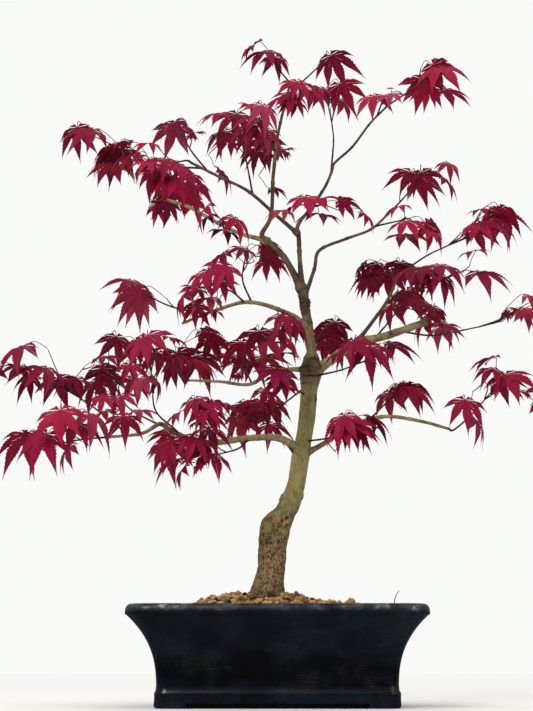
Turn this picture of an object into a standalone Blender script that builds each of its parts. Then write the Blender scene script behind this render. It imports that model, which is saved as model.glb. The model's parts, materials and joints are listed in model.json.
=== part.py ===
"""A maple bonsai in a glazed rectangular pot, as separate solids.

Metres, +Z up. The origin is the middle of the pot's flat underside, +X runs along the pot
and -Y is its front. Routes and spaces below are in millimetres and are scaled by MM.
"""
import math
import random
from collections import namedtuple

import bmesh
import bpy
from mathutils import Matrix, Vector
from mathutils.bvhtree import BVHTree

MM = 0.001
GAP = 0.0003                # air left between two solids that touch on the real tree
UP = Vector((0, 0, 1))

# --- pot ------------------------------------------------------------------------------------
POT_LENGTH = 0.250          # over the rolled rim
POT_WIDTH = 0.190
POT_HEIGHT = 0.085
POT_CORNER = 0.022          # plan radius at the rim
POT_WALL = 0.006
POT_FLOOR = 0.008
RIM_HEIGHT = 0.008          # upright face of the rim, over the flare
WAIST_INSET = 0.0252        # how far the flare draws in down at the waist
FLARE_POWER = 2.7
BAND_INSET = 0.0235         # the foot band stands a little proud of the waist
BAND_HEIGHT = 0.015
FOOT_NOTCH = (0.150, 0.020, 0.004)      # opening between two feet: length, depth, height
BAND_EDGE = 0.0015          # chamfer under the band
BAND_SHOULDER = 0.003       # and the slope on top of it
RIM_UNDER = ((0.0012, -0.0012), (0.0, 0.001))           # inset, height above the rim's underside
RIM_OVER = ((0.0, 0.005), (0.003, 0.0005), (0.005, 0.0),        # inset, depth below the top
            (0.009, 0.0), (0.011, 0.003))
LIP_INSET = 0.0125          # inside of the rim, where the soil's edge lies
INNER_HEIGHTS = (0.064, 0.050, 0.030)
FLOOR_FILLET = 0.004
INNER_CORNER = 0.006        # least plan radius, down inside
DRAIN_RADIUS = 0.006
DRAIN_X = 0.060
CUTTER_DEPTH = 0.04
CORNER_STEPS = 5
WALL_STEPS = 6
SHARP_EDGE = 35             # degrees; pot edges sharper than this stay crisp

# --- soil -----------------------------------------------------------------------------------
SOIL_EDGE = 0.077           # height where the soil meets the wall
SOIL_TOP = 0.090            # flat patch that the trunk stands on
PATCH_RADIUS = 0.021
MOUND_RINGS = 4

# --- trunk: height, centre in x, radius (mm); it leans right, with a shoulder at 158 ---------
TRUNK = ((90.3, -9.0, 14.6), (98, -9.0, 13.6), (115, -5.0, 12.1), (132, -4.0, 12.2),
         (149, -2.0, 13.2), (158, 0.0, 14.2), (164, 4.5, 12.8), (169, 9.0, 10.4),
         (178, 13.0, 9.1), (193, 17.5, 7.6), (210, 20.0, 7.9), (223, 22.4, 7.0),
         (245, 26.0, 7.2), (270, 28.0, 7.3), (282, 29.0, 8.8), (290, 29.2, 9.9),
         (298, 29.4, 8.2), (305, 30.0, 4.6), (322, 28.0, 4.0), (346, 24.4, 4.1),
         (358, 22.8, 4.2), (366, 21.0, 3.4))
TRUNK_SWAY = 3.0            # the trunk bows forward and back by this much on its way up
TRUNK_SIDES = 14
FLARE_HEIGHT = 22.0         # root flare fades out over this height
FLARE = 0.22                # and adds this share of the radius on five root ridges
ROOT_RIDGES = 5

# --- limbs --------------------------------------------------------------------------------
# Each springs from a share of its parent's length, where 1 is the parent's tip, and runs
# through the route's points (mm). Its radius (mm) goes evenly from base to tip.
Limb = namedtuple("Limb", "parent at route base tip sides")
LIMBS = {
    "bough_low_left": Limb("trunk", 0.468, ((3, -4, 228), (-23, -10, 228), (-56, -18, 223),
                                            (-79, -25, 227), (-95, -30, 235)), 3.3, 2.1, 8),
    "bough_low_left_end": Limb("bough_low_left", 1, ((-115, -36, 229), (-141, -46, 225)),
                               1.8, 1.2, 6),
    "bough_left": Limb("trunk", 0.725, ((-2, 18, 290), (-24, 30, 280), (-50, 42, 284),
                                        (-78, 55, 287)), 2.0, 1.1, 6),
    "bough_mid_left": Limb("trunk", 0.856, ((11, -6, 337), (-23, -20, 345), (-53, -30, 336),
                                            (-81, -40, 323)), 2.2, 1.2, 6),
    "limb_upper_left": Limb("trunk", 0.975, ((7, 2, 388), (-9, 5, 406)), 3.0, 2.5, 8),
    "leader": Limb("limb_upper_left", 1, ((-5, 4, 427), (-3, 0, 463), (1, -3, 498),
                                          (11, -5, 541)), 2.0, 1.1, 6),
    "limb_high_left": Limb("limb_upper_left", 0.95, ((-33, 18, 414), (-55, 34, 428),
                                                     (-78, 48, 444), (-99, 60, 454)), 2.0, 1.3, 6),
    "limb_centre": Limb("trunk", 1, ((20, -4, 390), (19, -8, 410)), 2.2, 1.9, 6),
    "limb_centre_right": Limb("limb_centre", 1, ((31, 6, 435), (44, 20, 458), (51, 30, 477)),
                              1.6, 1.2, 6),
    "limb_centre_left": Limb("limb_centre", 0.94, ((-2, -16, 424), (-25, -30, 441),
                                                   (-49, -44, 450), (-74, -56, 460)), 1.7, 1.1, 6),
    "limb_high_right": Limb("limb_centre_right", 1, ((68, 22, 494), (83, 6, 511), (96, -10, 521)),
                            1.2, 0.9, 6),
    "limb_thin_right": Limb("trunk", 0.945, ((33, 8, 379), (38, 16, 398), (61, 30, 411),
                                             (85, 44, 423), (102, 55, 440)), 1.7, 1.1, 6),
    "limb_right": Limb("trunk", 0.711, ((46, -3, 296), (69, -8, 311), (94, -16, 316),
                                        (130, -28, 327)), 4.2, 3.0, 8),
    "limb_right_rise": Limb("limb_right", 0.418, ((83, -14, 329), (96, -22, 347), (103, -30, 363)),
                            1.7, 1.2, 6),
    "bough_low_right": Limb("trunk", 0.456, ((41, 8, 225), (66, 18, 242), (96, 28, 251),
                                             (128, 38, 248), (154, 46, 242)), 2.3, 1.3, 6),
}
LIMB_STEP = 0.013           # length of one facet along a limb
STEM_STEP = 0.022           # and along a foliage stem
LIMB_LEAD = 0.006           # straight start of a limb that carries on from another's tip,
STEM_LEAD = 0.004           # and of a stem that does
COLLAR = 0.30               # a limb swells by this share at its root
COLLAR_LENGTH = 0.007
CUTTER_GROW = 1.5           # gaps that the trunk's cutter is grown by, as its rings are level

# --- foliage --------------------------------------------------------------------------------
# A mass is one stem from a parent limb, at a share of that limb's length. Its twigs end inside
# an oval space (centre and half sizes, mm) and bear leaves of the given length (mm) in pairs.
Mass = namedtuple("Mass", "name parent at stem centre half twigs leaves length seed")
MASSES = (
    Mass("far_left_low", "bough_low_left_end", 1, ((-164, -54, 222), (-190, -62, 216)),
         (-194, -60, 217), (59.85, 45.15, 31.5), 4, 10, 36.4, 220),
    Mass("far_left_high", "bough_low_left_end", 0.67, ((-156, -25, 252), (-186, -8, 273)),
         (-192, -5, 272), (64.05, 45.15, 38.85), 4, 10, 37.7, 177),
    Mass("left_high", "bough_low_left", 0.93, ((-127, -15, 253), (-144, 0, 280)),
         (-140, 5, 287), (37.8, 43.05, 42), 3, 9, 35.1, 65),
    Mass("left_rise", "bough_low_left", 0.88, ((-103, -45, 248), (-105, -60, 273)),
         (-98, -62, 276), (29.4, 39.9, 40.95), 3, 8, 33.8, 83),
    Mass("left_under", "bough_low_left_end", 0.45, ((-125, -62, 234),),
         (-118, -75, 231), (37.8, 37.8, 25.2), 2, 6, 26, 268),
    Mass("left_hanging", "bough_low_left", 0.38, ((-35, -20, 217), (-61, -35, 209)),
         (-74, -38, 208), (43.05, 43.05, 33.6), 3, 8, 35.1, 116),
    Mass("left_front", "bough_low_left", 0.63, ((-58, -45, 234), (-64, -68, 242)),
         (-60, -78, 237), (35.7, 37.8, 25.2), 3, 7, 28.6, 126),
    Mass("left_mid_end", "bough_left", 1, ((-89, 72, 297),),
         (-79, 85, 302), (37.8, 45.15, 36.75), 3, 8, 35.1, 13),
    Mass("left_mid_near", "bough_left", 0.50, ((-31, 52, 303),),
         (-22, 65, 309), (38.85, 39.9, 33.6), 3, 8, 33.8, 66),
    Mass("left_diag", "trunk", 0.68, ((7, 28, 263), (-17, 52, 247)),
         (-13, 60, 244), (38.85, 43.05, 35.7), 3, 8, 32.5, 116),
    Mass("trunk_left_front", "trunk", 0.64, ((9, -28, 271), (-1, -45, 277)),
         (0, -55, 276), (26.25, 37.8, 31.5), 2, 6, 33.8, 56),
    Mass("mid_left", "bough_mid_left", 0.51, ((-40, -42, 351), (-61, -58, 355)),
         (-58, -62, 341), (36.75, 39.9, 32.55), 3, 8, 32.5, 231),
    Mass("mid_left_far", "bough_mid_left", 0.82, ((-92, -35, 339), (-116, -28, 352)),
         (-122, -25, 348), (36.75, 39.9, 27.3), 2, 6, 36.4, 156),
    Mass("mid_left_up", "bough_mid_left", 0.46, ((-30, 0, 368), (-29, 20, 388)),
         (-18, 28, 387), (45.15, 43.05, 27.3), 3, 7, 31.2, 51),
    Mass("mid_left_near", "bough_mid_left", 0.21, ((1, -38, 328),),
         (2, -52, 324), (26.25, 35.7, 29.4), 2, 6, 28.6, 76),
    Mass("high_left_end", "limb_high_left", 1, ((-112, 76, 456),),
         (-97, 84, 454), (38.85, 43.05, 29.4), 3, 8, 28.6, 27),
    Mass("high_left_near", "limb_high_left", 0.38, ((-48, 8, 424), (-48, -10, 420)),
         (-45, -18, 413), (27.3, 35.7, 23.1), 2, 6, 28.6, 190),
    Mass("top_left", "leader", 1, ((-1, -8, 560),),
         (-9, -8, 565), (33.6, 37.8, 33.6), 2, 6, 35.1, 155),
    Mass("top_right", "leader", 0.95, ((25, 8, 552), (46, 14, 574)),
         (57, 15, 570), (34.65, 37.8, 27.3), 2, 5, 37.7, 85),
    Mass("apex", "leader", 0.88, ((15, -28, 526),),
         (20, -42, 516), (34.65, 37.8, 26.25), 3, 7, 31.2, 280),
    Mass("leader_front", "leader", 0.58, ((-6, -28, 487), (-13, -44, 497)),
         (-12, -55, 491), (29.4, 37.8, 32.55), 3, 7, 31.2, 55),
    Mass("leader_back", "leader", 0.37, ((-1, 28, 479), (1, 48, 500)),
         (-1, 56, 486), (36.75, 43.05, 42), 3, 7, 28.6, 70),
    Mass("centre_left_mid", "limb_centre_left", 1, ((-93, -66, 456),),
         (-88, -74, 440), (37.8, 43.05, 30.45), 4, 9, 31.2, 46),
    Mass("centre_left_far", "limb_centre_left", 0.90, ((-109, -48, 461), (-138, -36, 481)),
         (-147, -32, 470), (48.3, 45.15, 46.2), 4, 10, 33.8, 98),
    Mass("centre_left_up", "limb_centre_left", 0.86, ((-75, -38, 476), (-85, -25, 499)),
         (-86, -22, 492), (30.45, 35.7, 31.5), 2, 5, 36.4, 208),
    Mass("centre_left_rise", "limb_centre_left", 0.46, ((-27, -8, 474), (-36, 8, 515)),
         (-45, 8, 492), (32.55, 39.9, 49.35), 4, 9, 32.5, 86),
    Mass("centre_right_up", "limb_centre_right", 0.92, ((52, 44, 506), (49, 55, 539)),
         (57, 58, 525), (34.65, 39.9, 48.3), 3, 8, 33.8, 89),
    Mass("high_right", "limb_high_right", 0.85, ((92, -34, 521),),
         (91, -50, 512), (26.25, 35.7, 21), 2, 5, 31.2, 252),
    Mass("high_right_far", "limb_high_right", 1, ((117, -2, 538), (133, 6, 553)),
         (142, 5, 542), (42, 39.9, 36.75), 2, 6, 37.7, 16),
    Mass("high_right_near", "limb_thin_right", 1, ((118, 62, 458), (130, 70, 475)),
         (139, 72, 470), (47.25, 43.05, 29.4), 3, 7, 32.5, 73),
    Mass("thin_right_mid", "limb_thin_right", 0.85, ((106, 25, 426), (118, 10, 426)),
         (121, 2, 413), (32.55, 37.8, 32.55), 2, 6, 32.5, 91),
    Mass("centre_right_front", "limb_centre_right", 0.30, ((31, -24, 427), (35, -40, 427)),
         (37, -52, 413), (48.3, 39.9, 27.3), 4, 9, 29.9, 60),
    Mass("right_rise_top", "limb_right_rise", 0.93, ((101, 0, 375),),
         (98, 18, 371), (44.1, 39.9, 28.35), 3, 8, 32.5, 177),
    Mass("right_far", "limb_right_rise", 1, ((127, -40, 381), (163, -48, 397)),
         (179, -50, 401), (52.5, 43.05, 32.55), 4, 9, 35.1, 207),
    Mass("right_mid_far", "limb_right_rise", 0.66, ((126, -50, 352), (152, -68, 362)),
         (150, -72, 353), (53.55, 39.9, 26.25), 4, 9, 33.8, 174),
    Mass("right_mid_near", "limb_right", 0.57, ((100, 15, 335), (112, 35, 353)),
         (119, 50, 351), (36.75, 39.9, 26.25), 3, 7, 29.9, 33),
    Mass("right_low_twig", "limb_right", 0.77, ((134, 0, 319), (176, 25, 330), (204, 40, 339)),
         (183, 35, 333), (69.3, 45.15, 30.45), 4, 10, 28.6, 31),
    Mass("right_front", "trunk", 0.70, ((54, -30, 284), (80, -55, 291)),
         (82, -62, 287), (44.1, 39.9, 26.25), 3, 8, 33.8, 214),
    Mass("trunk_right_back", "trunk", 0.80, ((39, 30, 325), (48, 50, 339)),
         (52, 58, 332), (24.15, 37.8, 35.7), 2, 6, 31.2, 199),
    Mass("low_right_front", "trunk", 0.50, ((45, -25, 227), (62, -42, 236)),
         (66, -52, 229), (36.75, 39.9, 28.35), 3, 8, 33.8, 288),
    Mass("low_right_mid", "bough_low_right", 0.49, ((97, 52, 265), (107, 68, 276)),
         (112, 72, 269), (47.25, 39.9, 26.25), 3, 7, 35.1, 10),
    Mass("low_right_end", "bough_low_right", 1, ((174, 44, 255), (194, 36, 278)),
         (191, 35, 263), (56.7, 45.15, 43.05), 5, 11, 35.1, 207),
)
OUTLINE_POWER = 4           # 2 would be an ellipsoid, more is closer to a box
TWIG_ROOM = 0.60            # twigs end inside this share of the space,
TWIG_LIFT = 0.30            # raised by this share of its half height, as leaves hang
TWIG_STARTS = (0.15, 0.35, 0.55, 0.75)  # shares of the stem that twigs leave from
TWIG_BEND = 0.45            # share of its length that a twig keeps to the stem's direction
TWIG_PIECES = 2
TWIG_CHOICES = 6            # places tried for a twig's end; the one furthest from the others is kept
TWIG_SIDES = 3
STEM_RADIUS = (0.0011, 0.0008)
TWIG_RADIUS = (0.0009, 0.0007)
STALK_RADIUS = 0.0006
STALK_LENGTH = (0.45, 0.80)             # of the leaf's length
STALK_BEND = 0.0030         # length of the bent end that carries the blade
SHARPEST_BEND = 0.22        # cosine of the most that a blade folds back on its stalk
LAST_PAIR = 0.0012          # distance of the last pair of leaves from a twig's tip,
PAIR_SPACING = 0.012        # and of each pair from the next
FIRST_PAIR = 0.3            # no pair is nearer the twig's root than this share
PAIR_WANDER = 0.6           # radians that a leaf strays from facing its partner
LEAN_AHEAD = (0.3, 0.9)     # how much a stalk leans along its twig,
LEAN_UP = (0.1, 0.7)        # and how much it lifts
LEAF_TURN = 0.5             # radians that a blade turns from its stalk
STEEP = 0.95                # a twig that rises more than this share counts as upright
LEAF_SIZE = (0.84, 1.10)
LEAF_PITCH = (5, 50)        # degrees that a blade hangs below level
LEAF_ROLL = 24
LEAF_THICKNESS = 0.0016
LEAF_DROOP = 0.55           # how far the tips hang below the stalk, as a share of the length
LOBES = ((0, 1.00), (39, 0.92), (84, 0.66))     # degrees from the middle, share of the length
NOTCHES = (0.46, 0.40)                  # between lobes, from the middle one outwards
NOTCH_BACK = 0.14                       # where the stalk meets the blade
TRIES = 60
GUARD = 0.0008              # twigs and limbs are kept this much further apart
GUARD_SIDES = 4
GUARD_GROW = 1.05           # a blade's guard is this much larger
GUARD_BLADE = 0.0025        # thickness of the guard round a blade
ROOT_SKIP = 0.006           # length at a twig's root that may meet what it springs from
STALK_FREE = (0.22, 0.80)   # shares of a stalk's two parts that may meet nothing of its own mass

# --- colours: linear RGB, roughness ---------------------------------------------------------
FINISH = {
    "glaze": ((0.010, 0.018, 0.032), 0.18),
    "soil": ((0.330, 0.190, 0.080), 0.95),
    "bark": ((0.180, 0.125, 0.075), 0.85),
    "leaf": ((0.270, 0.010, 0.035), 0.55),
}

Guard = namedtuple("Guard", "tree centre reach")
Leaf = namedtuple("Leaf", "stalk frame length")


def material(finish):
    """The shared Principled material of one finish."""
    found = bpy.data.materials.get(finish)
    if found:
        return found
    made = bpy.data.materials.new(finish)
    made.use_nodes = True
    shader = made.node_tree.nodes["Principled BSDF"]
    colour, roughness = FINISH[finish]
    shader.inputs["Base Color"].default_value = (*colour, 1.0)
    shader.inputs["Roughness"].default_value = roughness
    shader.inputs["Metallic"].default_value = 0.0
    return made


def add_object(name, verts, faces, finish):
    """A mesh object in the scene."""
    mesh = bpy.data.meshes.new(name)
    mesh.from_pydata([tuple(v) for v in verts], [], faces)
    work = bmesh.new()
    work.from_mesh(mesh)
    bmesh.ops.recalc_face_normals(work, faces=work.faces)
    work.to_mesh(mesh)
    work.free()
    mesh.materials.append(material(finish))
    made = bpy.data.objects.new(name, mesh)
    bpy.context.collection.objects.link(made)
    return made


def as_cutter(cutter):
    """Hide an object that only shapes others."""
    cutter.hide_render = True
    cutter.display_type = "WIRE"
    return cutter


def subtract(target, cutter):
    """Cut one object out of another with a live Boolean."""
    cut = target.modifiers.new("cut_" + cutter.name, "BOOLEAN")
    cut.operation = "DIFFERENCE"
    cut.solver = "EXACT"
    cut.object = cutter


def loft(rings):
    """Verts and faces of a closed skin over rings of equal count, with flat ends."""
    count = len(rings[0])
    verts = [point for ring in rings for point in ring]
    faces = [tuple(reversed(range(count)))]
    for level in range(len(rings) - 1):
        low = level * count
        for k in range(count):
            after = (k + 1) % count
            faces.append((low + k, low + after, low + count + after, low + count + k))
    top = (len(rings) - 1) * count
    faces.append(tuple(range(top, top + count)))
    return verts, faces


def smooth_round(target, angle=50):
    """Shade a round piece smooth, with its hard edges kept."""
    target.data.shade_smooth()
    target.data.set_sharp_from_angle(angle=math.radians(angle))


# --- pot and soil ---------------------------------------------------------------------------
def rounded_ring(inset, height):
    """Rounded rectangle of the pot's plan, drawn in by an inset."""
    corner = max(POT_CORNER - inset / 2, INNER_CORNER)
    half_x = POT_LENGTH / 2 - inset - corner
    half_y = POT_WIDTH / 2 - inset - corner
    ring = []
    for quarter, (sx, sy) in enumerate(((1, 1), (-1, 1), (-1, -1), (1, -1))):
        for k in range(CORNER_STEPS):
            turn = math.radians(90 * quarter + 90 * k / (CORNER_STEPS - 1))
            ring.append(Vector((sx * half_x + corner * math.cos(turn),
                                sy * half_y + corner * math.sin(turn), height)))
    return ring


def wall_inset(height):
    """How far the outer wall is drawn in: most at the waist, and none under the rim."""
    rise = POT_HEIGHT - RIM_HEIGHT - BAND_HEIGHT
    share = min(1.0, max(0.0, (height - BAND_HEIGHT) / rise))
    return WAIST_INSET * (1 - share ** FLARE_POWER)


def inner_profile():
    """Stations down the inside of the pot, from the soil's edge to the floor."""
    stations = [(LIP_INSET, SOIL_EDGE)]
    for height in (*INNER_HEIGHTS, POT_FLOOR + FLOOR_FILLET):
        stations.append((wall_inset(height) + POT_WALL, height))
    return stations + [(stations[-1][0] + FLOOR_FILLET, POT_FLOOR)]


def make_pot():
    """Hollow pot: foot band, flared wall, rolled rim, two drain holes and notched feet."""
    rim_low = POT_HEIGHT - RIM_HEIGHT
    profile = [(BAND_INSET + BAND_EDGE, 0.0), (BAND_INSET, BAND_EDGE),
               (BAND_INSET, BAND_HEIGHT - BAND_SHOULDER)]
    for k in range(WALL_STEPS):
        height = BAND_HEIGHT + (rim_low - BAND_HEIGHT) * k / WALL_STEPS
        profile.append((wall_inset(height), height))
    profile += [(inset, rim_low + rise) for inset, rise in RIM_UNDER]
    profile += [(inset, POT_HEIGHT - depth) for inset, depth in RIM_OVER]
    profile += inner_profile()
    pot = add_object("pot", *loft([rounded_ring(*station) for station in profile]), "glaze")
    for side in (-1, 1):
        bpy.ops.mesh.primitive_cylinder_add(vertices=12, radius=DRAIN_RADIUS, depth=CUTTER_DEPTH,
                                            location=(side * DRAIN_X, 0, 0))
        drain = as_cutter(bpy.context.object)
        drain.name = "cut_drain_" + ("left" if side < 0 else "right")
        subtract(pot, drain)
        length, depth, height = FOOT_NOTCH
        face = POT_WIDTH / 2 - BAND_INSET
        bpy.ops.mesh.primitive_cube_add(size=1, location=(0, side * face, 0),
                                        scale=(length, 2 * depth, 2 * height))
        notch = as_cutter(bpy.context.object)
        notch.name = "cut_notch_" + ("front" if side < 0 else "back")
        subtract(pot, notch)
    smooth_round(pot, SHARP_EDGE)


def make_soil():
    """Granular fill, level with the wall at its edge and mounded to a flat patch at the trunk."""
    rings = [rounded_ring(inset + 2 * GAP, max(height, POT_FLOOR + GAP))
             for inset, height in reversed(inner_profile())]
    foot = Vector((TRUNK[0][1] * MM, 0, 0))
    edge = rings[-1]
    for k in range(1, MOUND_RINGS + 1):
        share = k / MOUND_RINGS
        height = SOIL_EDGE + (SOIL_TOP - SOIL_EDGE) * share
        ring = []
        for point in edge:
            flat = Vector((point.x, point.y, 0)) - foot
            patch = foot + flat.normalized() * PATCH_RADIUS
            ring.append(Vector((point.x, point.y, 0)).lerp(patch, share) + UP * height)
        rings.append(ring)
    soil = add_object("soil", *loft(rings), "soil")
    smooth_round(soil)


# --- limbs ----------------------------------------------------------------------------------
def smooth_route(knots, step):
    """Points about a step apart on a smooth curve through the knots."""
    ends = [2 * knots[0] - knots[1], *knots, 2 * knots[-1] - knots[-2]]
    points = []
    for before, start, end, after in zip(ends, ends[1:], ends[2:], ends[3:]):
        count = max(1, round((end - start).length / step))
        for k in range(count):
            t = k / count
            points.append(0.5 * (2 * start + (end - before) * t
                                 + (2 * before - 5 * start + 4 * end - after) * t ** 2
                                 + (3 * start - before - 3 * end + after) * t ** 3))
    return points + [knots[-1]]


def tube_rings(points, radii, sides):
    """Rings square to a route, turned as little as possible from one to the next."""
    rings = []
    side = None
    for i, point in enumerate(points):
        along = (points[min(i + 1, len(points) - 1)] - points[max(i - 1, 0)]).normalized()
        side = along.orthogonal() if side is None else side - along * side.dot(along)
        side.normalize()
        other = along.cross(side)
        turns = [math.tau * k / sides for k in range(sides)]
        rings.append([point + radii[i] * (side * math.cos(a) + other * math.sin(a)) for a in turns])
    return rings


def taper(points, base, tip, collar=0.0):
    """Radius at each point, from base to tip, with a swelling at the root."""
    run = [0.0]
    for start, end in zip(points, points[1:]):
        run.append(run[-1] + (end - start).length)
    return [(base + (tip - base) * s / run[-1]) * (1 + collar * math.exp(-s / COLLAR_LENGTH))
            for s in run]


def place_on(points, radii, share):
    """Point, direction and radius at a share of a route's length."""
    steps = [(end - start).length for start, end in zip(points, points[1:])]
    left = share * sum(steps)
    for i, step in enumerate(steps):
        if left <= step or i == len(steps) - 1:
            t = min(left / step, 1.0)
            direction = (points[i + 1] - points[i]).normalized()
            return points[i].lerp(points[i + 1], t), direction, radii[i] + (radii[i + 1] - radii[i]) * t
        left -= step


def trunk_axis():
    """Axis points and radii of the trunk."""
    low, high = TRUNK[0][0], TRUNK[-1][0]
    points = [Vector((x, TRUNK_SWAY * math.sin(math.tau * (z - low) / (high - low)), z)) * MM
              for z, x, _ in TRUNK]
    return points, [radius * MM for _, _, radius in TRUNK]


def trunk_rings(points, radii, grow=0.0):
    """Level rings up the trunk, flared on its root ridges and grown by an allowance."""
    rings = []
    for point, radius in zip(points, radii):
        flare = FLARE * max(0.0, 1 - (point.z - points[0].z) / (FLARE_HEIGHT * MM)) ** 2
        ring = []
        for k in range(TRUNK_SIDES):
            turn = math.tau * k / TRUNK_SIDES
            reach = radius * (1 + flare * max(0.0, math.cos(ROOT_RIDGES * turn))) + grow
            ring.append(point + reach * Vector((math.cos(turn), math.sin(turn), 0)))
        rings.append(ring)
    return rings


def make_trunk(points, radii):
    """Trunk from its flat cut on the soil to the fork."""
    trunk = add_object("trunk", *loft(trunk_rings(points, radii)), "bark")
    smooth_round(trunk)


def limb_axis(limb, axes):
    """Axis points and radii of a limb, from its parent's axis or, at share 1, from its tip."""
    start, along, _ = place_on(*axes[limb.parent], limb.at)
    knots = [start] + [Vector(p) * MM for p in limb.route]
    if limb.at == 1:
        along = UP if limb.parent == "trunk" else along     # the trunk's rings are level
        knots = [start + along * GAP, start + along * LIMB_LEAD] + knots[1:]
    points = smooth_route(knots, LIMB_STEP)
    return points, taper(points, limb.base * MM, limb.tip * MM, COLLAR if limb.at < 1 else 0.0)


def make_cutter(name, points, radii):
    """A limb's shape grown by the gap all round, which clears room for what springs from it."""
    top = points[-1] + (points[-1] - points[-2]).normalized() * GAP
    if name == "trunk":
        rings = trunk_rings([*points[:-1], top], radii, CUTTER_GROW * GAP)
    else:
        sides = LIMBS[name].sides
        foot = points[0] - (points[1] - points[0]).normalized() * GAP
        grown = [radius / math.cos(math.pi / sides) + GAP for radius in radii]
        rings = tube_rings([foot, *points[1:-1], top], grown, sides * 2)
    return as_cutter(add_object("cut_" + name, *loft(rings), "bark"))


def make_limbs(axes):
    """Every limb, each cut clear of its parent and of the limb that carries on from it."""
    cutters = {}
    for name, limb in LIMBS.items():
        tube = add_object(name, *loft(tube_rings(*axes[name], limb.sides)), "bark")
        rivals = [other for other, rival in LIMBS.items()
                  if rival.parent == limb.parent and rival.at == 1]
        for other in [limb.parent, *rivals] if limb.at < 1 else []:
            if other not in cutters:
                cutters[other] = make_cutter(other, *axes[other])
            subtract(tube, cutters[other])
        smooth_round(tube)


# --- foliage --------------------------------------------------------------------------------
def blade_outline(length):
    """Rim of a drooping blade along +X, from its last right lobe to its last left lobe."""
    side = [LOBES[0]]
    for (angle, share), (before, _), notch in zip(LOBES[1:], LOBES, NOTCHES):
        side += [((angle + before) / 2, notch), (angle, share)]
    turns = [(-angle, share) for angle, share in reversed(side[1:])] + side
    rim = []
    for angle, share in turns:
        turn = math.radians(angle)
        rim.append(Vector((length * share * math.cos(turn), length * share * math.sin(turn),
                           -LEAF_DROOP * length * share ** 2)))
    return rim


def star(length, thickness):
    """A blade without its stalk: a folded star with one point for each lobe."""
    verts = blade_outline(length) + [Vector((-NOTCH_BACK * length, 0, 0))]
    count = len(verts)
    verts += [Vector((0, 0, thickness / 2)), Vector((0, 0, -thickness / 2))]
    faces = []
    for k in range(count):
        after = (k + 1) % count
        faces += [(k, after, count), (after, k, count + 1)]
    return verts, faces


def stalk_ring(centre, along, leaf):
    """Three points round a stalk, in the order left, low, right of its blade."""
    side = leaf.frame @ Vector((0, 1, 0))
    side = (side - along * side.dot(along)).normalized()
    return [centre + shift * STALK_RADIUS for shift in (side, side.cross(along), -side)]


def leaf_skin(leaf):
    """Blade and stalk in one skin: the stalk bends over and ends in place of the back notch."""
    back = -NOTCH_BACK * leaf.length
    rim = blade_outline(leaf.length)
    mouth = [Vector((back, STALK_RADIUS, 0)), Vector((back, 0, -STALK_RADIUS)),
             Vector((back, -STALK_RADIUS, 0))]
    centre = [Vector((0, 0, LEAF_THICKNESS / 2)), Vector((0, 0, -LEAF_THICKNESS / 2))]
    node, elbow, joint = leaf.stalk
    verts = [joint + leaf.frame @ v for v in rim + mouth + centre]
    left, low, right, above, below = range(len(rim), len(rim) + 5)
    along = (elbow - node).normalized()
    verts += stalk_ring(elbow, (along + leaf.frame.col[0]).normalized(), leaf)
    verts += stalk_ring(node, along, leaf)
    upper = [*range(len(rim)), left, right]
    lower = [*range(len(rim)), left, low, right]
    faces = [(k, after, above) for k, after in zip(upper, upper[1:] + upper[:1])]
    faces += [(after, k, below) for k, after in zip(lower, lower[1:] + lower[:1])]
    rings = [(left, low, right), tuple(range(below + 1, below + 4)), tuple(range(below + 4, below + 7))]
    for near, far in zip(rings, rings[1:]):
        for k in range(3):
            after = (k + 1) % 3
            faces.append((near[after], near[k], far[k], far[after]))
    faces.append(rings[-1])
    return verts, faces


def blade(leaf, grow=1.0, thickness=LEAF_THICKNESS):
    """A leaf's star where it hangs."""
    verts, faces = star(leaf.length * grow, thickness)
    return [leaf.stalk[2] + leaf.frame @ v for v in verts], faces


def guard(verts, faces):
    """A search tree of a shape, with the ball that holds it."""
    centre = sum(verts, Vector()) / len(verts)
    reach = max((v - centre).length for v in verts)
    return Guard(BVHTree.FromPolygons(verts, faces), centre, reach)


def tube_guard(points, radii, skip=0.0):
    """Guard round a tube, leaving out what lies within a distance of its root."""
    kept = [p for p in points if (p - points[0]).length >= skip]
    if len(kept) < 2:
        kept = [points[0].lerp(points[-1], 0.5), points[-1]]
    fat = [max(radii) + GUARD] * len(kept)
    return guard(*loft(tube_rings(kept, fat, GUARD_SIDES)))


def is_clear(shape, guards):
    """True where a guard meets none of the others."""
    for other in guards:
        if (shape.centre - other.centre).length < shape.reach + other.reach:
            if shape.tree.overlap(other.tree):
                return False
    return True


def inside(point, centre, half):
    """True where a point lies in an oval space."""
    offset = point - centre
    return sum(abs(offset[k] / half[k]) ** OUTLINE_POWER for k in range(3)) < 1


def curve(start, lean, end):
    """A bent run from start to end that sets off along lean."""
    middle = start + lean * (end - start).length * TWIG_BEND
    shares = [k / TWIG_PIECES for k in range(TWIG_PIECES + 1)]
    return [start * (1 - t) ** 2 + middle * 2 * t * (1 - t) + end * t ** 2 for t in shares]


def mass_stem(mass, axes):
    """Stem of a mass: it starts a gap away from the side or the tip of its parent."""
    start, along, radius = place_on(*axes[mass.parent], mass.at)
    knots = [Vector(p) * MM for p in mass.stem]
    if mass.at == 1:
        knots = [start + along * GAP, start + along * STEM_LEAD] + knots
    else:
        toward = (knots[0] - start).normalized()
        across = toward.cross(along).length
        clear = (radius + GAP + STEM_RADIUS[0] * math.sqrt(1 - across ** 2)) / across
        knots = [start + toward * clear] + knots
    points = smooth_route(knots, STEM_STEP)
    return points, taper(points, *STEM_RADIUS)


def twig_to(end, stem):
    """A twig that leaves the stem before the place nearest to its end, and bends to it."""
    places = [place_on(*stem, share) for share in TWIG_STARTS]
    start, along, _ = min(places, key=lambda place: (end - place[0]).length)
    points = curve(start, along, end)
    return points, taper(points, *TWIG_RADIUS)


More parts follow.
